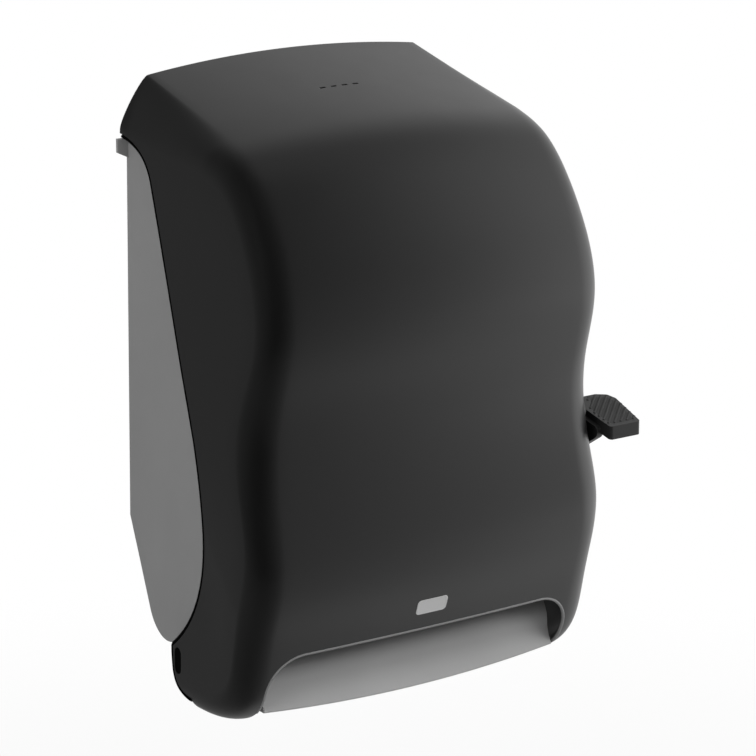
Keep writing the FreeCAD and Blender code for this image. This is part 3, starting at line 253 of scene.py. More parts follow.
def mixed_colour(tree, factor, first, second):
    """Mix of two colours, each a socket or a colour of its own."""
    node = tree.nodes.new("ShaderNodeMix")
    node.data_type = "RGBA"
    tree.links.new(factor, node.inputs[0])
    for socket, value in ((node.inputs[6], first), (node.inputs[7], second)):
        if isinstance(value, tuple):
            socket.default_value = value
        else:
            tree.links.new(value, socket)
    return node.outputs[2]


def make_mould_skin():
    """Colour and gloss of moulded plastic: cloudy flow marks and faint handling smudges."""
    inputs = [
        ("Colour", "NodeSocketColor", (0.1, 0.1, 0.1, 1)),
        ("Second Colour", "NodeSocketColor", (0.12, 0.12, 0.12, 1)),
        ("Cloud Scale", "NodeSocketFloat", 18.0),
        ("Roughness", "NodeSocketFloat", 0.45),
        ("Smudge", "NodeSocketFloat", 0.08),
    ]
    outputs = [("Colour", "NodeSocketColor"), ("Roughness", "NodeSocketFloat")]
    tree, entry, way_out = new_group("mould_skin", inputs, outputs)
    clouds = noise(tree, entry.outputs["Cloud Scale"], detail=3.0)
    colour = mixed_colour(tree, clouds, entry.outputs["Colour"], entry.outputs["Second Colour"])
    tree.links.new(colour, way_out.inputs["Colour"])
    smears = noise(tree, 34.0, detail=4.0, stretch=(1.0, 1.0, 0.45))
    centred = maths(tree, "SUBTRACT", smears, 0.5)
    swing = maths(tree, "MULTIPLY", centred, entry.outputs["Smudge"])
    rough = maths(tree, "ADD", swing, entry.outputs["Roughness"])
    tree.links.new(rough, way_out.inputs["Roughness"])
    return tree


def make_spark_grain():
    """Height of a spark-eroded mould: fine pits over a slightly coarser tooth."""
    inputs = [("Pits", "NodeSocketFloat", 1700.0), ("Tooth", "NodeSocketFloat", 700.0)]
    tree, entry, way_out = new_group("spark_grain", inputs, [("Height", "NodeSocketFloat")])
    pits = noise(tree, entry.outputs["Pits"], detail=1.0)
    tooth = noise(tree, entry.outputs["Tooth"], detail=1.0)
    height = maths(tree, "MULTIPLY_ADD", tooth, 0.6, pits)
    tree.links.new(height, way_out.inputs["Height"])
    return tree


def rolled_normal(tree, radius):
    """Normal that rolls over hard edges within a radius."""
    bevel = tree.nodes.new("ShaderNodeBevel")
    bevel.samples = EDGE_SAMPLES
    tree.links.new(radius, bevel.inputs["Radius"])
    return bevel.outputs["Normal"]


def make_soft_edge():
    """Normal of soft edges, as a mould's or a press tool's radius gives."""
    inputs = [("Radius", "NodeSocketFloat", 0.0006)]
    tree, entry, way_out = new_group("soft_edge", inputs, [("Normal", "NodeSocketVector")])
    tree.links.new(rolled_normal(tree, entry.outputs["Radius"]), way_out.inputs["Normal"])
    return tree


def make_worn_edge():
    """Mask of edges rubbed bare: where the rolled normal leaves the true one, broken up by noise."""
    inputs = [("Radius", "NodeSocketFloat", 0.0008), ("Wear", "NodeSocketFloat", 4.0)]
    tree, entry, way_out = new_group("worn_edge", inputs, [("Mask", "NodeSocketFloat")])
    true_normal = tree.nodes.new("ShaderNodeNewGeometry").outputs["Normal"]
    product = tree.nodes.new("ShaderNodeVectorMath")
    product.operation = "DOT_PRODUCT"
    tree.links.new(rolled_normal(tree, entry.outputs["Radius"]), product.inputs[0])
    tree.links.new(true_normal, product.inputs[1])
    turned = maths(tree, "SUBTRACT", 1.0, product.outputs["Value"])
    scaled = maths(tree, "MULTIPLY", turned, entry.outputs["Wear"])
    broken = maths(tree, "MULTIPLY", scaled, noise(tree, 260.0, detail=3.0))
    mask = tree.nodes.new("ShaderNodeClamp")
    tree.links.new(broken, mask.inputs["Value"])
    tree.links.new(mask.outputs["Result"], way_out.inputs["Mask"])
    return tree


def make_drawn_metal():
    """Colour, gloss and height of rolled or drawn metal with its lines along X."""
    inputs = [
        ("Colour", "NodeSocketColor", (0.5, 0.5, 0.5, 1)),
        ("Dark", "NodeSocketColor", (0.3, 0.3, 0.3, 1)),
        ("Roughness", "NodeSocketFloat", 0.3),
    ]
    outputs = [
        ("Colour", "NodeSocketColor"),
        ("Roughness", "NodeSocketFloat"),
        ("Height", "NodeSocketFloat"),
    ]
    tree, entry, way_out = new_group("drawn_metal", inputs, outputs)
    lines = noise(tree, 900.0, detail=2.0, stretch=(0.04, 1.0, 1.0))
    patches = noise(tree, 60.0, detail=4.0)
    colour = mixed_colour(tree, patches, entry.outputs["Colour"], entry.outputs["Dark"])
    swing = maths(tree, "MULTIPLY_ADD", lines, 0.14, entry.outputs["Roughness"])
    tree.links.new(colour, way_out.inputs["Colour"])
    tree.links.new(swing, way_out.inputs["Roughness"])
    tree.links.new(lines, way_out.inputs["Height"])
    return tree


MOULD_SKIN = make_mould_skin()
SPARK_GRAIN = make_spark_grain()
SOFT_EDGE = make_soft_edge()
WORN_EDGE = make_worn_edge()
DRAWN_METAL = make_drawn_metal()


# ---------------------------------------------------------------- finishes


def start_finish(name):
    """New material with its shader, and its node tree."""
    material = bpy.data.materials.new(name)
    material.use_nodes = True
    tree = material.node_tree
    return material, tree, tree.nodes["Principled BSDF"]


def placed(tree, group, values):
    """A shader group in a material, with its own values."""
    node = tree.nodes.new("ShaderNodeGroup")
    node.node_tree = group
    for label, value in values.items():
        node.inputs[label].default_value = value
    return node


def grey(value, warmth=0.0):
    """Near-neutral colour with an equal part of warmth taken from blue."""
    return (value * (1 + warmth), value, value * (1 - warmth), 1.0)


def relief(tree, shader, height, distance, radius):
    """Bump over softly rolled edges into the shader's normal."""
    edge = placed(tree, SOFT_EDGE, {"Radius": radius})
    bump = tree.nodes.new("ShaderNodeBump")
    bump.inputs["Distance"].default_value = distance
    tree.links.new(height, bump.inputs["Height"])
    tree.links.new(edge.outputs["Normal"], bump.inputs["Normal"])
    tree.links.new(bump.outputs["Normal"], shader.inputs["Normal"])


def moulded(name, value, roughness, grain, gloss=0.5, pits=1700.0, warmth=0.0, smudge=0.08, radius=0.0006):
    """Moulded plastic: its grey value and gloss, and its grain's height and edges' radius in metres."""
    material, tree, shader = start_finish(name)
    skin = placed(tree, MOULD_SKIN, {
        "Colour": grey(value * (1 - CLOUDINESS), warmth),
        "Second Colour": grey(value * (1 + CLOUDINESS), warmth),
        "Roughness": roughness,
        "Smudge": smudge,
    })
    tree.links.new(skin.outputs["Colour"], shader.inputs["Base Color"])
    tree.links.new(skin.outputs["Roughness"], shader.inputs["Roughness"])
    shader.inputs["Specular IOR Level"].default_value = gloss
    texture = placed(tree, SPARK_GRAIN, {"Pits": pits, "Tooth": pits * TOOTH_SHARE})
    relief(tree, shader, texture.outputs["Height"], grain, radius)
    return material


def metal(name, value, dark, roughness, wear=0.0):
    """Rolled, drawn or plated metal, with brighter rubbed edges if it wears."""
    material, tree, shader = start_finish(name)
    body = placed(tree, DRAWN_METAL, {"Colour": grey(value), "Dark": grey(dark), "Roughness": roughness})
    colour = body.outputs["Colour"]
    if wear:
        mask = placed(tree, WORN_EDGE, {"Wear": wear})
        colour = mixed_colour(tree, mask.outputs["Mask"], colour, grey(RUBBED_BRIGHT))
    tree.links.new(colour, shader.inputs["Base Color"])
    tree.links.new(body.outputs["Roughness"], shader.inputs["Roughness"])
    shader.inputs["Metallic"].default_value = 1.0
    relief(tree, shader, body.outputs["Height"], ROLLED_GRAIN, PRESSED_EDGE)
    return material


def finishes():
    """One material for each kind of surface, and the nodes that have it."""
    cover = moulded("satin_black_cover", 0.0036, 0.36, 0.000006, gloss=0.8, smudge=0.05, radius=0.0009)
    plate = moulded("bare_plate", 0.45, 0.35, 0.000004, radius=0.0003)
    # Near-black, dull material of the seam bead and the recess pads: painted shade, a dark fill where the
    # seam gap and the hinge recesses are in shadow.
    rim = moulded("painted_shade_black", 0.0012, 0.8, 0.000006, gloss=0.05)
    # Light grey lip material: the rolled lip is real, its light colour on the black cover is a painted
    # highlight.
    lip = moulded("lip_painted_highlight", 0.16, 0.4, 0.000004, gloss=0.6)
    housing = moulded("grey_housing", 0.20, 0.5, 0.00002)
    chute = moulded("grey_chute", 0.29, 0.42, 0.000012)
    lever = moulded("black_lever", 0.015, 0.45, 0.00003, pits=1200.0)
    grip = moulded("soft_grip", 0.022, 0.66, 0.00005, pits=900.0, smudge=0.15)
    dark = moulded("black_mechanism", 0.030, 0.5, 0.00003)
    natural = moulded("natural_acetal", 0.60, 0.4, 0.000008, warmth=0.03, radius=0.0003)
    rubber = moulded("feed_rubber", 0.055, 0.8, 0.00006, gloss=0.25, pits=700.0, smudge=0.2)
    steel = metal("plated_steel", 0.52, 0.36, 0.28, wear=3.0)
    spring = metal("spring_wire", 0.34, 0.26, 0.3)
    blade = metal("blade_steel", 0.66, 0.52, 0.18)
    return {
        cover: ["front_cover"],
        rim: [],
        lip: [],
        plate: [],
        housing: ["back_plate", "left_cheek", "right_cheek"],
        chute: ["paper_chute"],
        lever: ["lever"],
        grip: ["lever_grip"],
        dark: ["left_side_frame", "right_side_frame", "lock_housing", "lock_slide", "latch_keeper",
               "transfer_bar", "pinch_carrier", "left_roll_arm", "right_roll_arm", "feed_roller",
               "hinge_pins"],
        natural: ["shaft_bushes", "drive_sector", "drive_pinion", "feed_thumbwheel", "pinch_roller",
                  "left_core_hub", "right_core_hub"],
        rubber: ["feed_sleeves"],
        steel: ["cheek_screws", "frame_screws", "chute_screws", "crossbar_screws",
                "blade_screws", "keeper_screws", "roll_arm_brackets", "roll_arm_pins", "blade_crossbar",
                "pinch_pivot_rod", "lever_shaft", "lever_screw", "feed_shaft", "one_way_clutch"],
        spring: ["torsion_springs", "lock_spring", "lever_clip", "feed_clip"],
        blade: ["cutter_blade"],
    }


def dress(material, names):
    """Give the nodes their material."""
    for name in names:
        mesh = NODES[name].data
        mesh.materials.clear()
        mesh.materials.append(material)


# ---------------------------------------------------------------- the cover's form


def smooth_curve(points):
    """Smooth curve through the points as a function of the distance along them, and its length."""
    places = numpy.array(points, float)
    chords = numpy.linalg.norm(numpy.diff(places, axis=0), axis=1)
    knots = numpy.concatenate(([0.0], numpy.cumsum(chords)))
    count = len(places)
    matrix = numpy.eye(count)
    right = numpy.zeros_like(places)
    for k in range(1, count - 1):
        before, after = chords[k - 1], chords[k]
        matrix[k, k - 1:k + 2] = before, 2 * (before + after), after
        right[k] = 6 * ((places[k + 1] - places[k]) / after - (places[k] - places[k - 1]) / before)
    bends = numpy.linalg.solve(matrix, right)

    def place(distance):
        k = int(min(max(numpy.searchsorted(knots, distance) - 1, 0), count - 2))
        ahead, behind, span = knots[k + 1] - distance, distance - knots[k], chords[k]
        bent = (bends[k] * ahead ** 3 + bends[k + 1] * behind ** 3) / (6 * span)
        first = (places[k] / span - bends[k] * span / 6) * ahead
        second = (places[k + 1] / span - bends[k + 1] * span / 6) * behind
        return bent + first + second

    return place, knots[-1]


def cover_outline():
    """Side outline of the cover along its rounded corners, as depth and height."""
    top, foot = COVER_TOP, FOOT_DEPTH
    return [
        (-45.0, top + 9.5), (10.0, top - 2.0), (70.0, top - 15.0), (130.0, top - 28.3),
        (foot - 30.0, top - 41.0), (foot - 5.0, top - 64.0), (foot + 15.0, top - 94.0),
        (UPPER_BULGE[0] - 2.5, UPPER_BULGE[1] + 26), UPPER_BULGE,
        (UPPER_BULGE[0] - 7.0, UPPER_BULGE[1] - 34),
        (WAIST[0] + 3.2, WAIST[1] + 24), WAIST, (WAIST[0] + 4.2, WAIST[1] - 48),
        (LOWER_BULGE[0] - 3.2, LOWER_BULGE[1] + 22), LOWER_BULGE,
        (LOWER_BULGE[0] - 3.5, LOWER_BULGE[1] - 27),
        (foot + 15.0, 73.0), (foot + 6.5, 42.0), (foot - 6.0, 11.0), (foot - 36.0, 7.0 - FOOT_DROP),
        (foot - 76.0, -FOOT_DROP), (foot - 126.0, 2.0 - FOOT_DROP), (foot - 166.0, 9.0 - FOOT_DROP),
    ]


def cover_stations(inset, count):
    """Points along the outline pulled in by the inset, evenly spaced."""
    place, length = smooth_curve(cover_outline())
    overrun = INSIDE_OVERRUN if inset > COVER_WALL / 2 else 0.0
    points = []
    for step in range(count + 1):
        distance = -overrun + (length + 2 * overrun) * step / count
        inside = min(max(distance, CURVE_NUDGE), length - CURVE_NUDGE)
        way = place(inside + CURVE_NUDGE) - place(inside - CURVE_NUDGE)
        way /= numpy.linalg.norm(way)
        normal = numpy.array((way[1], -way[0]))
        points.append(place(inside) + way * (distance - inside) + normal * inset)
    return points


def cover_side(place):
    """Outer side of the cover, which leans in towards the top and the front."""
    up = max(place[1] - COVER_LEAN_START, 0) / (COVER_TOP - COVER_LEAN_START)
    lean = COVER_LEAN_BACK + (COVER_LEAN_FRONT - COVER_LEAN_BACK) * place[0] / UPPER_BULGE[0]
    return COVER_HALF_WIDTH - lean * up ** COVER_LEAN_GROWTH


def shoulder_share(place):
    """How far the corner has opened into a long soft shoulder: fully by the wall, not at all in front."""
    if place[1] < CORE[1]:
        return 0.0
    return 1 - min(max(place[0] / SHOULDER_REACH, 0), 1)


def rounded_corner(start, end, corner, middle, steps):
    """Curve from start to end that leaves and arrives along the lines to the corner, near the middle."""
    centre = (start + end) / 2
    reach = corner - centre
    share = (middle - centre).dot(reach) / reach.dot(reach)
    weight = share / (1 - share)
    points = []
    for step in range(steps + 1):
        t = step / steps
        a, b, c = (1 - t) ** 2, 2 * t * (1 - t) * weight, t * t
        points.append((a * start + b * corner + c * end) / (a + b + c))
    return points


def cover_half_section(place, inset, side_steps, corner_steps, crown_steps):
    """Right half of a cut through the cover along the spoke from its core to a point of the outline.

    Points are sideways place, depth and height, from the core round the corner to the crown.
    """
    reach = numpy.linalg.norm(place - CORE)
    outward = (place - CORE) / reach
    share = shoulder_share(place)
    radius = COVER_CORNER - inset
    drop = radius + (SHOULDER_DROP - COVER_CORNER) * share
    width = radius + (SHOULDER_WIDTH - COVER_CORNER) * share
    bend = 1 - math.sqrt(0.5) + SHOULDER_FLATNESS * share
    side = cover_side(CORE + outward * (reach - drop)) - inset
    root = numpy.array((cover_side(CORE) + COVER_SIDE_BULGE - inset, CORE_RADIUS))
    forward = min(max(place[0] / UPPER_BULGE[0], 0), 1)
    crown = COVER_BOW * forward + COVER_CROWN * (max(place[1], 0) / COVER_TOP) ** 3
    low = numpy.array((side, reach - drop))
    high = numpy.array((side - width, reach))
    middle = numpy.array((side - bend * width, reach - bend * drop))
    sweep = (high[0] ** 2 + crown ** 2) / (2 * crown)
    slope = high[0] / math.sqrt(sweep ** 2 - high[0] ** 2)
    lean = (low[0] - root[0]) / (low[1] - root[1])
    rise = (high[1] - low[1] - slope * (low[0] - high[0])) / (1 + slope * lean)
    corner = low + rise * numpy.array((lean, 1.0))
    points = [root + (low - root) * step / side_steps for step in range(side_steps)]
    points += rounded_corner(low, high, corner, middle, corner_steps)
    for step in range(1, crown_steps + 1):
        x = high[0] * (1 - step / crown_steps)
        points.append(numpy.array((x, reach + crown - sweep + math.sqrt(sweep ** 2 - x ** 2))))
    return [(x, *(CORE + outward * distance)) for x, distance in points]


def cover_block(name, inset, stations, side_steps, corner_steps, crown_steps):
    """The cover filled in to its core, pulled in all round by the inset."""
    shape = bmesh.new()
    rows = []
    for place in cover_stations(inset, stations):
        half = cover_half_section(place, inset, side_steps, corner_steps, crown_steps)
        full = half + [(-x, depth, height) for x, depth, height in reversed(half[:-1])]
        rows.append([shape.verts.new(at(*point)) for point in full])
    return lofted(name, shape, rows)


def lofted(name, shape, rows):
    """Object of a closed skin over closed rows of points, with a face at each end."""
    count = len(rows[0])
    for lower, upper in zip(rows, rows[1:]):
        for step in range(count):
            after = (step + 1) % count
            shape.faces.new((lower[step], lower[after], upper[after], upper[step]))
    shape.faces.new(rows[0])
    shape.faces.new(rows[-1])
    return closed_object(name, shape)


def closed_object(name, shape):
    """Object of a closed shape, with its faces turned outwards."""
    bmesh.ops.recalc_face_normals(shape, faces=shape.faces)
    mesh = bpy.data.meshes.new(name)
    shape.to_mesh(mesh)
    shape.free()
    body = bpy.data.objects.new(name, mesh)
    bpy.context.scene.collection.objects.link(body)
    return body


def add_prism(shape, near_places, far_places):
    """Add a closed prism between two rows of places to a shape."""
    near = [shape.verts.new(place) for place in near_places]
    far = [shape.verts.new(place) for place in far_places]
    shape.faces.new(near)
    shape.faces.new(far)
    for step in range(len(near)):
        after = (step + 1) % len(near)
        shape.faces.new((near[step], near[after], far[after], far[step]))


def prism(name, outline, start, way):
    """Closed prism: outline points, each made a place by start, pushed along a way."""
    shape = bmesh.new()
    places = [start(*point) for point in outline]
    add_prism(shape, places, [place + way for place in places])
    return closed_object(name, shape)


def side_on(x):
    """Function that places a depth and height in the upright plane at x."""
    return lambda depth, height: at(x, depth, height)


def on_wall(x, height):
    """Place in the wall's plane."""
    return at(x, 0, height)


def under_top(x, depth):
    """Place just inside the cover's top."""
    return at(x, depth, COVER_TOP - KEY_SLOT_BELOW_TOP)


def rectangle(left, right, low, high):
    """Corners of a rectangle."""
    return [(left, low), (right, low), (right, high), (left, high)]


def arc_chain(points, way, steps=12):
    """Points of arcs from place to place, each one carrying on the last one's direction."""
    way = numpy.array(way, float) / numpy.linalg.norm(way)
    chain = [numpy.array(points[0], float)]
    for start, end in zip(points, points[1:]):
        start, chord = numpy.array(start, float), numpy.subtract(end, start)
        length = numpy.linalg.norm(chord)
        across = chord / length
        turn = math.atan2(way[0] * across[1] - way[1] * across[0], way.dot(across))
        for step in range(1, steps + 1):
            angle = turn * step / steps
            reach = length * (math.sin(angle) / math.sin(turn) if abs(turn) > 1e-4 else step / steps)
            cosine, sine = math.cos(angle - turn), math.sin(angle - turn)
            along = (across[0] * cosine - across[1] * sine, across[0] * sine + across[1] * cosine)
            chain.append(start + numpy.array(along) * reach)
        way = across * (2 * across.dot(way)) - way
    return chain


def seam_line(step_in):
    """The cover's rear edge from its top down to its heel, moved into the cover by a step."""
    line = arc_chain(SEAM, SEAM_FIRST_WAY) + arc_chain(HEEL, HEEL_FIRST_WAY)[1:]
    moved = []
    for step, place in enumerate(line):
        way = line[min(step + 1, len(line) - 1)] - line[max(step - 1, 0)]
        way = way / numpy.linalg.norm(way)
        moved.append(place + numpy.array((-way[1], way[0])) * step_in)
    return moved


def behind_seam():
    """Everything that the cover leaves to the chassis and the shadow gap behind its rear edge."""
    outline = seam_line(SEAM_GAP)
    outline += [(outline[-1][0], -FAR), (-FAR, -FAR), (-FAR, 2 * FAR), (0.0, 2 * FAR)]
    return prism("behind_seam", outline, side_on(-FAR), Vector((2 * FAR * MM, 0, 0)))


def mouth_outline(grow=0.0, steps=14):
    """The opening at the cover's foot seen from the front, from its lower right round to its lower left."""
    half, top, corner = MOUTH_HALF_WIDTH + grow, MOUTH_HEIGHT + grow, MOUTH_CORNER + grow
    right = [(half, MOUTH_LOWEST)]
    for step in range(steps + 1):
        angle = step / steps * math.pi / 2
        right.append((half - corner + corner * math.cos(angle), top - corner + corner * math.sin(angle)))
    return right + [(-x, height) for x, height in reversed(right)]


def rounded_slot(radius, length, place, steps=16):
    """Upright oblong, as depth and height."""
    points = []
    for step in range(2 * steps):
        angle = step / steps * math.pi
        lift = length if math.sin(angle) > 0 else 0.0
        points.append((place[0] + radius * math.cos(angle), place[1] + lift + radius * math.sin(angle)))
    return points


def cover_cutters():
    """The shapes that are cut out of the filled cover."""
    tools = [behind_seam(), cover_block("cover_inside", COVER_WALL, *INSIDE_STEPS)]
    tools.append(prism("mouth", mouth_outline(), on_wall, Vector((0, -FAR * MM, 0))))
    gap = rectangle(-CHEEK_WIDTH_AT_HINGE, CHEEK_WIDTH_AT_HINGE, -FAR, HEEL_GAP_HEIGHT)
    tools.append(prism("heel_gap", gap, on_wall, Vector((0, -HINGE_PLACE[0] * MM, 0))))
    pin = rounded_slot(HINGE_PIN_RADIUS, 0.0, HINGE_PLACE)
    tools.append(prism("pin_hole", pin, side_on(-FAR), Vector((2 * FAR * MM, 0, 0))))
    dimple = rounded_slot(DIMPLE_RADIUS, DIMPLE_LENGTH, HINGE_PLACE)
    side = COVER_HALF_WIDTH - DIMPLE_DEPTH
    for hand in (-1, 1):
        tools.append(prism("dimple", dimple, side_on(hand * side), Vector((hand * DIMPLE_CUT * MM, 0, 0))))
    long, wide = KEY_SLOT_SIZE
    for index in range(KEY_SLOT_COUNT):
        x = (index - (KEY_SLOT_COUNT - 1) / 2) * KEY_SLOT_PITCH
        slot = rectangle(x - long / 2, x + long / 2, KEY_SLOT_DEPTH - wide / 2, KEY_SLOT_DEPTH + wide / 2)
        tools.append(prism("key_slot", slot, under_top, Vector((0, 0, KEY_SLOT_CUT * MM))))
    return tools


def carved(name, solid, tools, material, sharp_angle):
    """Finished piece of a solid with the tools cut out of it, smooth up to the sharp angle."""
    for tool in tools:
        modifier = solid.modifiers.new(tool.name, "BOOLEAN")
        modifier.operation = "DIFFERENCE"
        modifier.solver = "EXACT"
        modifier.object = tool
    bpy.context.view_layer.update()
    depsgraph = bpy.context.evaluated_depsgraph_get()
    mesh = bpy.data.meshes.new_from_object(solid.evaluated_get(depsgraph))
    for body in [solid] + tools:
        bpy.data.objects.remove(body)
    mesh.materials.clear()
    mesh.materials.append(material)
    mesh.shade_smooth()
    mesh.set_sharp_from_angle(angle=math.radians(sharp_angle))
    piece = bpy.data.objects.new(name, mesh)
    bpy.context.scene.collection.objects.link(piece)
    return piece


def cover_skin(material):
    """The cover in smooth curves, with its cut-outs."""
    solid = cover_block("cover_solid", COVER_SINK, *SKIN_STEPS)
    piece = carved("cover_skin", solid, cover_cutters(), material, SKIN_SHARP_ANGLE)
    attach(piece, "cover")
    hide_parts("front_cover")
    return piece


# ---------------------------------------------------------------- the chute's form


def chute_section(share, inset, back):
    """Cut through the chute at a share of its half width, as depth and height from the lip up and round."""
    lip = CHUTE_LIP_DEPTH - CHUTE_LIP_BOW * share ** 2 - inset
    face = CHUTE_FACE_DEPTH - inset
    low = -CHUTE_LIP_DROP + CHUTE_LIP_LIFT * share ** 2 + inset
    shelf = CHUTE_SHELF_HEIGHT - inset
    bevel = CHUTE_LIP_BEVEL * CHUTE_LIP_ROUND
    bend = low + CHUTE_LIP_ROUND
    points = [(lip - CHUTE_LIP_ROUND, low), (lip - bevel, low + bevel), (lip, bend)]
    for step in range(1, CHUTE_FLARE_STEPS + 1):
        t = step / CHUTE_FLARE_STEPS
        depth = face + (lip - face) * (1 - t) ** CHUTE_FLARE
        points.append((depth, bend + (CHUTE_CREASE_HEIGHT - bend) * t))
    back_step, drop = CHUTE_SHOULDER
    for step in range(CHUTE_SHOULDER_STEPS + 1):
        angle = step / CHUTE_SHOULDER_STEPS * math.pi / 2
        points.append((face - back_step * (1 - math.cos(angle)), shelf - drop * (1 - math.sin(angle))))
    return points + [(back, shelf), (back, low)]


def chute_block(name, inset, back):
    """The chute filled in, pulled in all round by the inset, from one end to the other."""
    half = CHUTE_HALF_WIDTH - inset
    shape = bmesh.new()
    rows = []
    for step in range(2 * CHUTE_HALF_COLUMNS + 1):
        x = half * (step / CHUTE_HALF_COLUMNS - 1)
        rows.append([shape.verts.new(at(x, *place)) for place in chute_section(x / half, inset, back)])
    return lofted(name, shape, rows)


def chute_shell(material):
    """The paper chute: a box open at the back, with an upright face over a lip that flares forward."""
    solid = chute_block("chute_solid", 0.0, CHUTE_BACK_DEPTH)
    inside = chute_block("chute_inside", CHUTE_WALL, CHUTE_BACK_DEPTH - CHUTE_BACK_OVERRUN)
    piece = carved("chute_shell", solid, [inside], material, CHUTE_SHARP_ANGLE)
    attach(piece, "chassis")
    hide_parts("paper_chute")


# ---------------------------------------------------------------- pieces


def clipped(start, way, outline):
    """The stretch of a line that lies inside a convex outline, as two points."""
    low, high = -FAR, FAR
    for here, there in zip(outline, outline[1:] + outline[:1]):
        edge = (there[0] - here[0], there[1] - here[1])
        side = edge[0] * (start[1] - here[1]) - edge[1] * (start[0] - here[0])
        rate = edge[0] * way[1] - edge[1] * way[0]
        if abs(rate) < 1e-9:
            continue
        place = -side / rate
        if rate < 0:
            low = max(low, place)
        else:
            high = min(high, place)
    if high - low < 2 * RIB_RADIUS:
        return None
    return [(start[0] + way[0] * t, start[1] + way[1] * t) for t in (low, high)]


def paddle_top(x, depth):
    """Point on the sloping top of the paddle."""
    return at(x, depth, PADDLE_BACK[1] - (depth - PADDLE_BACK[0]) * PADDLE_SLOPE[0] / PADDLE_SLOPE[1])


def rib_lines():
    """Ends of each rib: parallel diagonals over the field, from its front to its back edge."""
    root = math.sqrt(0.5)
    way, across = (root, -root), (root, root)
    lines = []
    for step in range(-RIB_MOST_ASIDE, RIB_MOST_ASIDE + 1):
        start = (RIB_CENTRE + across[0] * RIB_PITCH * step, RIB_CENTRE + across[1] * RIB_PITCH * step)
        line = clipped(start, way, RIB_FIELD)
        if line:
            lines.append([paddle_top(*end) for end in line])
    return lines


def rod_tree(name, material, ball_ends):
    """Rods along the lines of a mesh, with round or flat ends."""
    tree = bpy.data.node_groups.new(name, "GeometryNodeTree")
    tree.interface.new_socket(name="Lines", in_out="INPUT", socket_type="NodeSocketGeometry")
    tree.interface.new_socket(name="Rod Radius", in_out="INPUT", socket_type="NodeSocketFloat")
    tree.interface.new_socket(name="Rods", in_out="OUTPUT", socket_type="NodeSocketGeometry")
    nodes, link = tree.nodes, tree.links.new
    entry, way_out = nodes.new("NodeGroupInput"), nodes.new("NodeGroupOutput")
    circle = nodes.new("GeometryNodeCurvePrimitiveCircle")
    circle.inputs["Resolution"].default_value = ROD_SIDES
    curve = nodes.new("GeometryNodeMeshToCurve")
    rods = nodes.new("GeometryNodeCurveToMesh")
    rods.inputs["Fill Caps"].default_value = not ball_ends
    join = nodes.new("GeometryNodeJoinGeometry")
    real = nodes.new("GeometryNodeRealizeInstances")
    finish = nodes.new("GeometryNodeSetMaterial")
    finish.inputs["Material"].default_value = material
    link(entry.outputs["Lines"], curve.inputs["Mesh"])
    link(curve.outputs["Curve"], rods.inputs["Curve"])
    link(entry.outputs["Rod Radius"], circle.inputs["Radius"])
    link(circle.outputs["Curve"], rods.inputs["Profile Curve"])
    link(rods.outputs["Mesh"], join.inputs["Geometry"])
    if ball_ends:
        ball = nodes.new("GeometryNodeMeshUVSphere")
        ball.inputs["Segments"].default_value = ROD_SIDES
        ball.inputs["Rings"].default_value = BALL_RINGS
        ends = nodes.new("GeometryNodeInstanceOnPoints")
        link(entry.outputs["Rod Radius"], ball.inputs["Radius"])
        link(entry.outputs["Lines"], ends.inputs["Points"])
        link(ball.outputs["Mesh"], ends.inputs["Instance"])
        link(ends.outputs["Instances"], join.inputs["Geometry"])
    link(join.outputs["Geometry"], real.inputs["Geometry"])
    link(real.outputs["Geometry"], finish.inputs["Geometry"])
    link(finish.outputs["Geometry"], way_out.inputs["Rods"])
    return tree


def lines_mesh(name, lines):
    """Mesh of open lines, each a row of places."""
    mesh = bpy.data.meshes.new(name)
    points, edges = [], []
    for line in lines:
        edges += [(len(points) + step, len(points) + step + 1) for step in range(len(line) - 1)]
        points += line
    mesh.from_pydata(points, edges, [])
    return mesh


def rods_along(name, lines, radius, material, ball_ends=False):
    """Smooth rods along lines, as a finished piece."""
    tree = rod_tree(name + "_tree", material, ball_ends)
    piece = grown(name, lines_mesh(name + "_lines", lines), tree, {"Rod Radius": radius * MM})
    for face in piece.data.polygons:
        face.use_smooth = True
    return piece


def socket_named(tree, label):
    """Identifier of a modifier input."""
    for item in tree.interface.items_tree:
        if item.name == label and item.in_out == "INPUT":
            return item.identifier
    raise KeyError(label)


def grown(name, mesh, tree, values):
    """The plain mesh that a geometry tree makes from a seed mesh, as a finished object."""
    seed = bpy.data.objects.new(name + "_seed", mesh)
    bpy.context.scene.collection.objects.link(seed)
    modifier = seed.modifiers.new("grow", "NODES")
    modifier.node_group = tree
    for label, value in values.items():
        modifier[socket_named(tree, label)] = value
    bpy.context.view_layer.update()
    depsgraph = bpy.context.evaluated_depsgraph_get()
    plain = bpy.data.meshes.new_from_object(seed.evaluated_get(depsgraph))
    seed.modifiers.remove(modifier)
    bpy.data.objects.remove(seed)
    piece = bpy.data.objects.new(name, plain)
    bpy.context.scene.collection.objects.link(piece)
    return piece


def grip_ribs(material):
    """Diagonal tread over the paddle."""
    sink = Vector((0, 0, (RIB_RISE - RIB_RADIUS) * MM))
    lines = [[end + sink for end in line] for line in rib_lines()]
    piece = rods_along("grip_ribs", lines, RIB_RADIUS, material, ball_ends=True)
    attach(piece, "hand_lever")


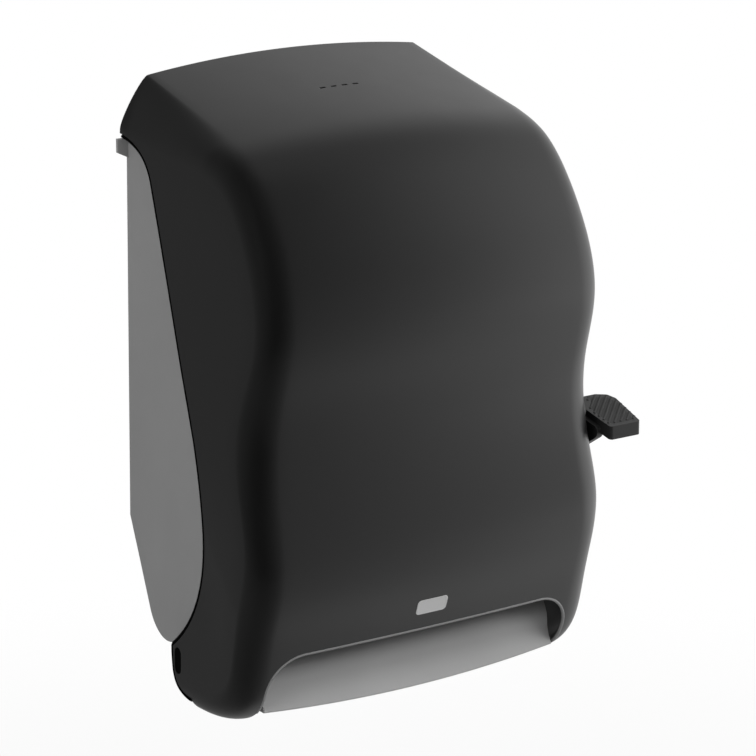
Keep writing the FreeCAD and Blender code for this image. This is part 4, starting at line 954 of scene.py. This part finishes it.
def seam_shadow_bead(surface, material):
    """Round black bead sunk in the gap behind the rear edge of the cover's sides: painted shadow that
    darkens the gap into a black line.
    """
    lines = []
    for hand in (-1, 1):
        line = []
        for place, feeler in zip(seam_line(SHADE_BEAD_STEP_IN), seam_line(SEAM_GAP + SHADE_BEAD_FEELER_IN)):
            start = at(hand * FAR, max(feeler[0], SHADE_BEAD_LEAST_DEPTH), feeler[1])
            found = surface.ray_cast(start, Vector((-hand, 0, 0)))[0]
            if found and abs(found.x) > SHADE_BEAD_LEAST_REACH * MM:
                side = hand * found.x / MM - SHADE_BEAD_SINK
                line.append(at(hand * side, max(place[0], SHADE_BEAD_RADIUS + SHADE_BEAD_WALL_CLEARANCE), place[1]))
        lines.append(line)
    piece = rods_along("seam_shadow_bead", lines, SHADE_BEAD_RADIUS, material)
    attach(piece, "cover")


def recess_shade_pads(material):
    """Black pads on the floors of the oblong recesses over the hinge pins: painted shade that darkens the
    recesses.
    """
    shape = bmesh.new()
    outline = rounded_slot(DIMPLE_RADIUS - SHADE_PAD_CLEARANCE, DIMPLE_LENGTH, HINGE_PLACE)
    for hand in (-1, 1):
        root = hand * (COVER_HALF_WIDTH - DIMPLE_DEPTH)
        near = [at(root, *place) for place in outline]
        add_prism(shape, near, [at(root + hand * SHADE_PAD_HEIGHT, *place) for place in outline])
    piece = closed_object("recess_shade_pads", shape)
    piece.data.materials.append(material)
    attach(piece, "cover")


def evenly_spaced(outline, spacing):
    """The corners of an outline, with places between them no farther apart than the spacing."""
    places = []
    for here, there in zip(outline, outline[1:]):
        here, there = numpy.array(here), numpy.array(there)
        count = math.ceil(numpy.linalg.norm(there - here) / spacing)
        places += [here + (there - here) * step / count for step in range(count)]
    return places + [numpy.array(outline[-1])]


def lip_painted_highlight(surface, material):
    """Thin rolled lip round the opening at the cover's foot, coloured light grey as a painted highlight
    along its edge.
    """
    line = []
    for x, height in evenly_spaced(mouth_outline(grow=LIP_STEP_OUT), LIP_STEP):
        found, normal, _, _ = surface.ray_cast(at(x, FAR, height), Vector((0, 1, 0)))
        if found and height > LIP_LOWEST:
            line.append(found - normal * math.copysign(LIP_SINK * MM, -normal.y))
    piece = rods_along("lip_painted_highlight", [line], LIP_RADIUS, material)
    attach(piece, "cover")


def surface_of(piece):
    """Ray finder for a piece."""
    mesh = piece.data
    points = [vertex.co for vertex in mesh.vertices]
    faces = [tuple(face.vertices) for face in mesh.polygons]
    return BVHTree.FromPolygons(points, faces)


def plate_outline(width, height, corner, steps=6):
    """Rounded rectangle in the plane of the cover's front."""
    points = []
    for turn, sx, sz in ((0, 1, 1), (1, -1, 1), (2, -1, -1), (3, 1, -1)):
        for step in range(steps + 1):
            angle = (turn + step / steps) * math.pi / 2
            x = sx * (width / 2 - corner) + corner * math.cos(angle)
            z = sz * (height / 2 - corner) + corner * math.sin(angle)
            points.append((x, z))
    return points


def front_plate(surface, material):
    """Bare rounded plate let into the cover's front, following its curve."""
    outline = plate_outline(*PLATE_SIZE, PLATE_CORNER)
    shape = bmesh.new()
    loops = []
    for share, rise in PLATE_RINGS:
        loop = []
        for x, z in outline:
            start = at(PLATE_PLACE[0] + x * share, FAR, PLATE_PLACE[1] + z * share)
            place, normal, _, _ = surface.ray_cast(start, Vector((0, 1, 0)))
            if normal.y > 0:
                normal = -normal
            loop.append(shape.verts.new(place + normal * rise * MM))
        loops.append(loop)
    piece = lofted("front_plate", shape, loops)
    piece.data.materials.append(material)
    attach(piece, "cover")


# ---------------------------------------------------------------- studio


def lamp(name, place, aim, size, power):
    """Soft rectangular lamp at a place, aimed at another."""
    light = bpy.data.lights.new(name, "AREA")
    light.shape = "RECTANGLE"
    light.size, light.size_y = size
    light.energy = power
    body = bpy.data.objects.new(name, light)
    body.location = place
    body.rotation_euler = (Vector(aim) - Vector(place)).to_track_quat("-Z", "Y").to_euler()
    body.visible_glossy = False
    bpy.context.scene.collection.objects.link(body)


def floor():
    """Wide pale floor that fades out and is nearly white to the camera, which can see up through it."""
    mesh = bpy.data.meshes.new("floor")
    reach = FLOOR_FADE[1]
    corners = [(-reach, -reach), (reach, -reach), (reach, reach), (-reach, reach)]
    mesh.from_pydata([(x, y, FLOOR_LEVEL) for x, y in corners], [], [(0, 1, 2, 3)])
    body = bpy.data.objects.new("floor", mesh)
    bpy.context.scene.collection.objects.link(body)
    material = bpy.data.materials.new("pale_floor")
    material.use_nodes = True
    tree = material.node_tree
    tree.nodes.clear()
    end = tree.nodes.new("ShaderNodeOutputMaterial")
    path = tree.nodes.new("ShaderNodeLightPath")
    plain = tree.nodes.new("ShaderNodeBsdfDiffuse")
    plain.inputs["Color"].default_value = grey(FLOOR_GREY)
    white = tree.nodes.new("ShaderNodeEmission")
    seen = maths(tree, "MULTIPLY", path.outputs["Is Camera Ray"], FLOOR_GLOW)
    lit = tree.nodes.new("ShaderNodeMixShader")
    tree.links.new(seen, lit.inputs[0])
    tree.links.new(plain.outputs[0], lit.inputs[1])
    tree.links.new(white.outputs[0], lit.inputs[2])
    clear = tree.nodes.new("ShaderNodeBsdfTransparent")
    below = tree.nodes.new("ShaderNodeNewGeometry").outputs["Backfacing"]
    split = tree.nodes.new("ShaderNodeSeparateXYZ")
    tree.links.new(tree.nodes.new("ShaderNodeTexCoord").outputs["Object"], split.inputs[0])
    across = maths(tree, "MULTIPLY", split.outputs["X"], split.outputs["X"])
    squared = maths(tree, "MULTIPLY_ADD", split.outputs["Y"], split.outputs["Y"], across)
    fade = tree.nodes.new("ShaderNodeMapRange")
    fade.interpolation_type = "SMOOTHSTEP"
    fade.inputs["From Min"].default_value = FLOOR_FADE[0]
    fade.inputs["From Max"].default_value = FLOOR_FADE[1]
    tree.links.new(maths(tree, "SQRT", squared), fade.inputs["Value"])
    glossed = maths(tree, "MULTIPLY", path.outputs["Is Glossy Ray"], GLOSS_THROUGH_FLOOR)
    hidden = maths(tree, "MAXIMUM", maths(tree, "MAXIMUM", below, fade.outputs[0]), glossed)
    both = tree.nodes.new("ShaderNodeMixShader")
    tree.links.new(hidden, both.inputs[0])
    tree.links.new(lit.outputs[0], both.inputs[1])
    tree.links.new(clear.outputs[0], both.inputs[2])
    tree.links.new(both.outputs[0], end.inputs["Surface"])
    mesh.materials.append(material)


def graded(tree, value, stops, low, high, top):
    """Smoothly graded level along a value: stops are value and level, levels up to the top."""
    node = tree.nodes.new("ShaderNodeValToRGB")
    node.color_ramp.interpolation = "EASE"
    tree.links.new(value, node.inputs[0])
    elements = node.color_ramp.elements
    for _ in stops[2:]:
        elements.new(0.5)
    for stop, (place, level) in zip(elements, stops):
        stop.position = (place - low) / (high - low)
        stop.color = grey(level / top)
    return maths(tree, "MULTIPLY", node.outputs["Color"], top)


def reflected_wheel(tree):
    """Strength of what gloss sees each way: dark towards the front left, brightest on the right."""
    split = tree.nodes.new("ShaderNodeSeparateXYZ")
    tree.links.new(tree.nodes.new("ShaderNodeTexCoord").outputs["Generated"], split.inputs[0])
    forward = maths(tree, "MULTIPLY", split.outputs["Y"], -1.0)
    turn = maths(tree, "ARCTAN2", split.outputs["X"], forward)
    share = maths(tree, "MULTIPLY_ADD", turn, 0.5 / math.pi, 0.5)
    rise = maths(tree, "MULTIPLY_ADD", split.outputs["Z"], 0.5, 0.5)
    around = graded(tree, share, WHEEL, -180, 180, WHEEL_TOP)
    return maths(tree, "MULTIPLY", around, graded(tree, rise, WHEEL_BY_HEIGHT, -1, 1, 1.0))


def sky():
    """White surround for the camera, a graded one for gloss, and a dimmer even light."""
    world = bpy.data.worlds.new("studio")
    bpy.context.scene.world = world
    world.use_nodes = True
    tree = world.node_tree
    ground = tree.nodes["Background"]
    ground.inputs["Color"].default_value = (1, 1, 1, 1)
    path = tree.nodes.new("ShaderNodeLightPath")
    seen = maths(tree, "MAXIMUM", path.outputs["Is Camera Ray"], path.outputs["Is Transmission Ray"])
    extra = maths(tree, "SUBTRACT", reflected_wheel(tree), SOFT_LIGHT)
    lit = maths(tree, "MULTIPLY_ADD", extra, path.outputs["Is Glossy Ray"], SOFT_LIGHT)
    tree.links.new(maths(tree, "MAXIMUM", seen, lit), ground.inputs["Strength"])


def camera():
    """Camera in front on the left, a little above."""
    back = Vector((
        math.sin(CAMERA_TURN) * math.cos(CAMERA_LIFT),
        -math.cos(CAMERA_TURN) * math.cos(CAMERA_LIFT),
        math.sin(CAMERA_LIFT),
    ))
    lens = bpy.data.cameras.new("camera")
    lens.lens = CAMERA_LENS
    lens.sensor_width = CAMERA_SENSOR
    lens.clip_start, lens.clip_end = CAMERA_REACH
    body = bpy.data.objects.new("camera", lens)
    body.location = at(*CAMERA_AIM) + back * CAMERA_DISTANCE
    body.rotation_mode = "QUATERNION"
    body.rotation_quaternion = (-back).to_track_quat("-Z", "Y")
    bpy.context.scene.collection.objects.link(body)
    bpy.context.scene.camera = body


def studio():
    """Floor, surround, camera and lamps."""
    floor()
    sky()
    camera()
    for row in LAMPS:
        lamp(*row)
    bpy.context.scene.view_settings.view_transform = "Standard"


def main():
    """Dress the nodes, make the scene's own pieces and set up the studio."""
    named = {}
    for material, names in finishes().items():
        dress(material, names)
        named[material.name] = material
    skin = surface_of(cover_skin(named["satin_black_cover"]))
    seam_shadow_bead(skin, named["painted_shade_black"])
    recess_shade_pads(named["painted_shade_black"])
    chute_shell(named["grey_chute"])
    lip_painted_highlight(skin, named["lip_painted_highlight"])
    front_plate(skin, named["bare_plate"])
    grip_ribs(named["soft_grip"])
    studio()


main()
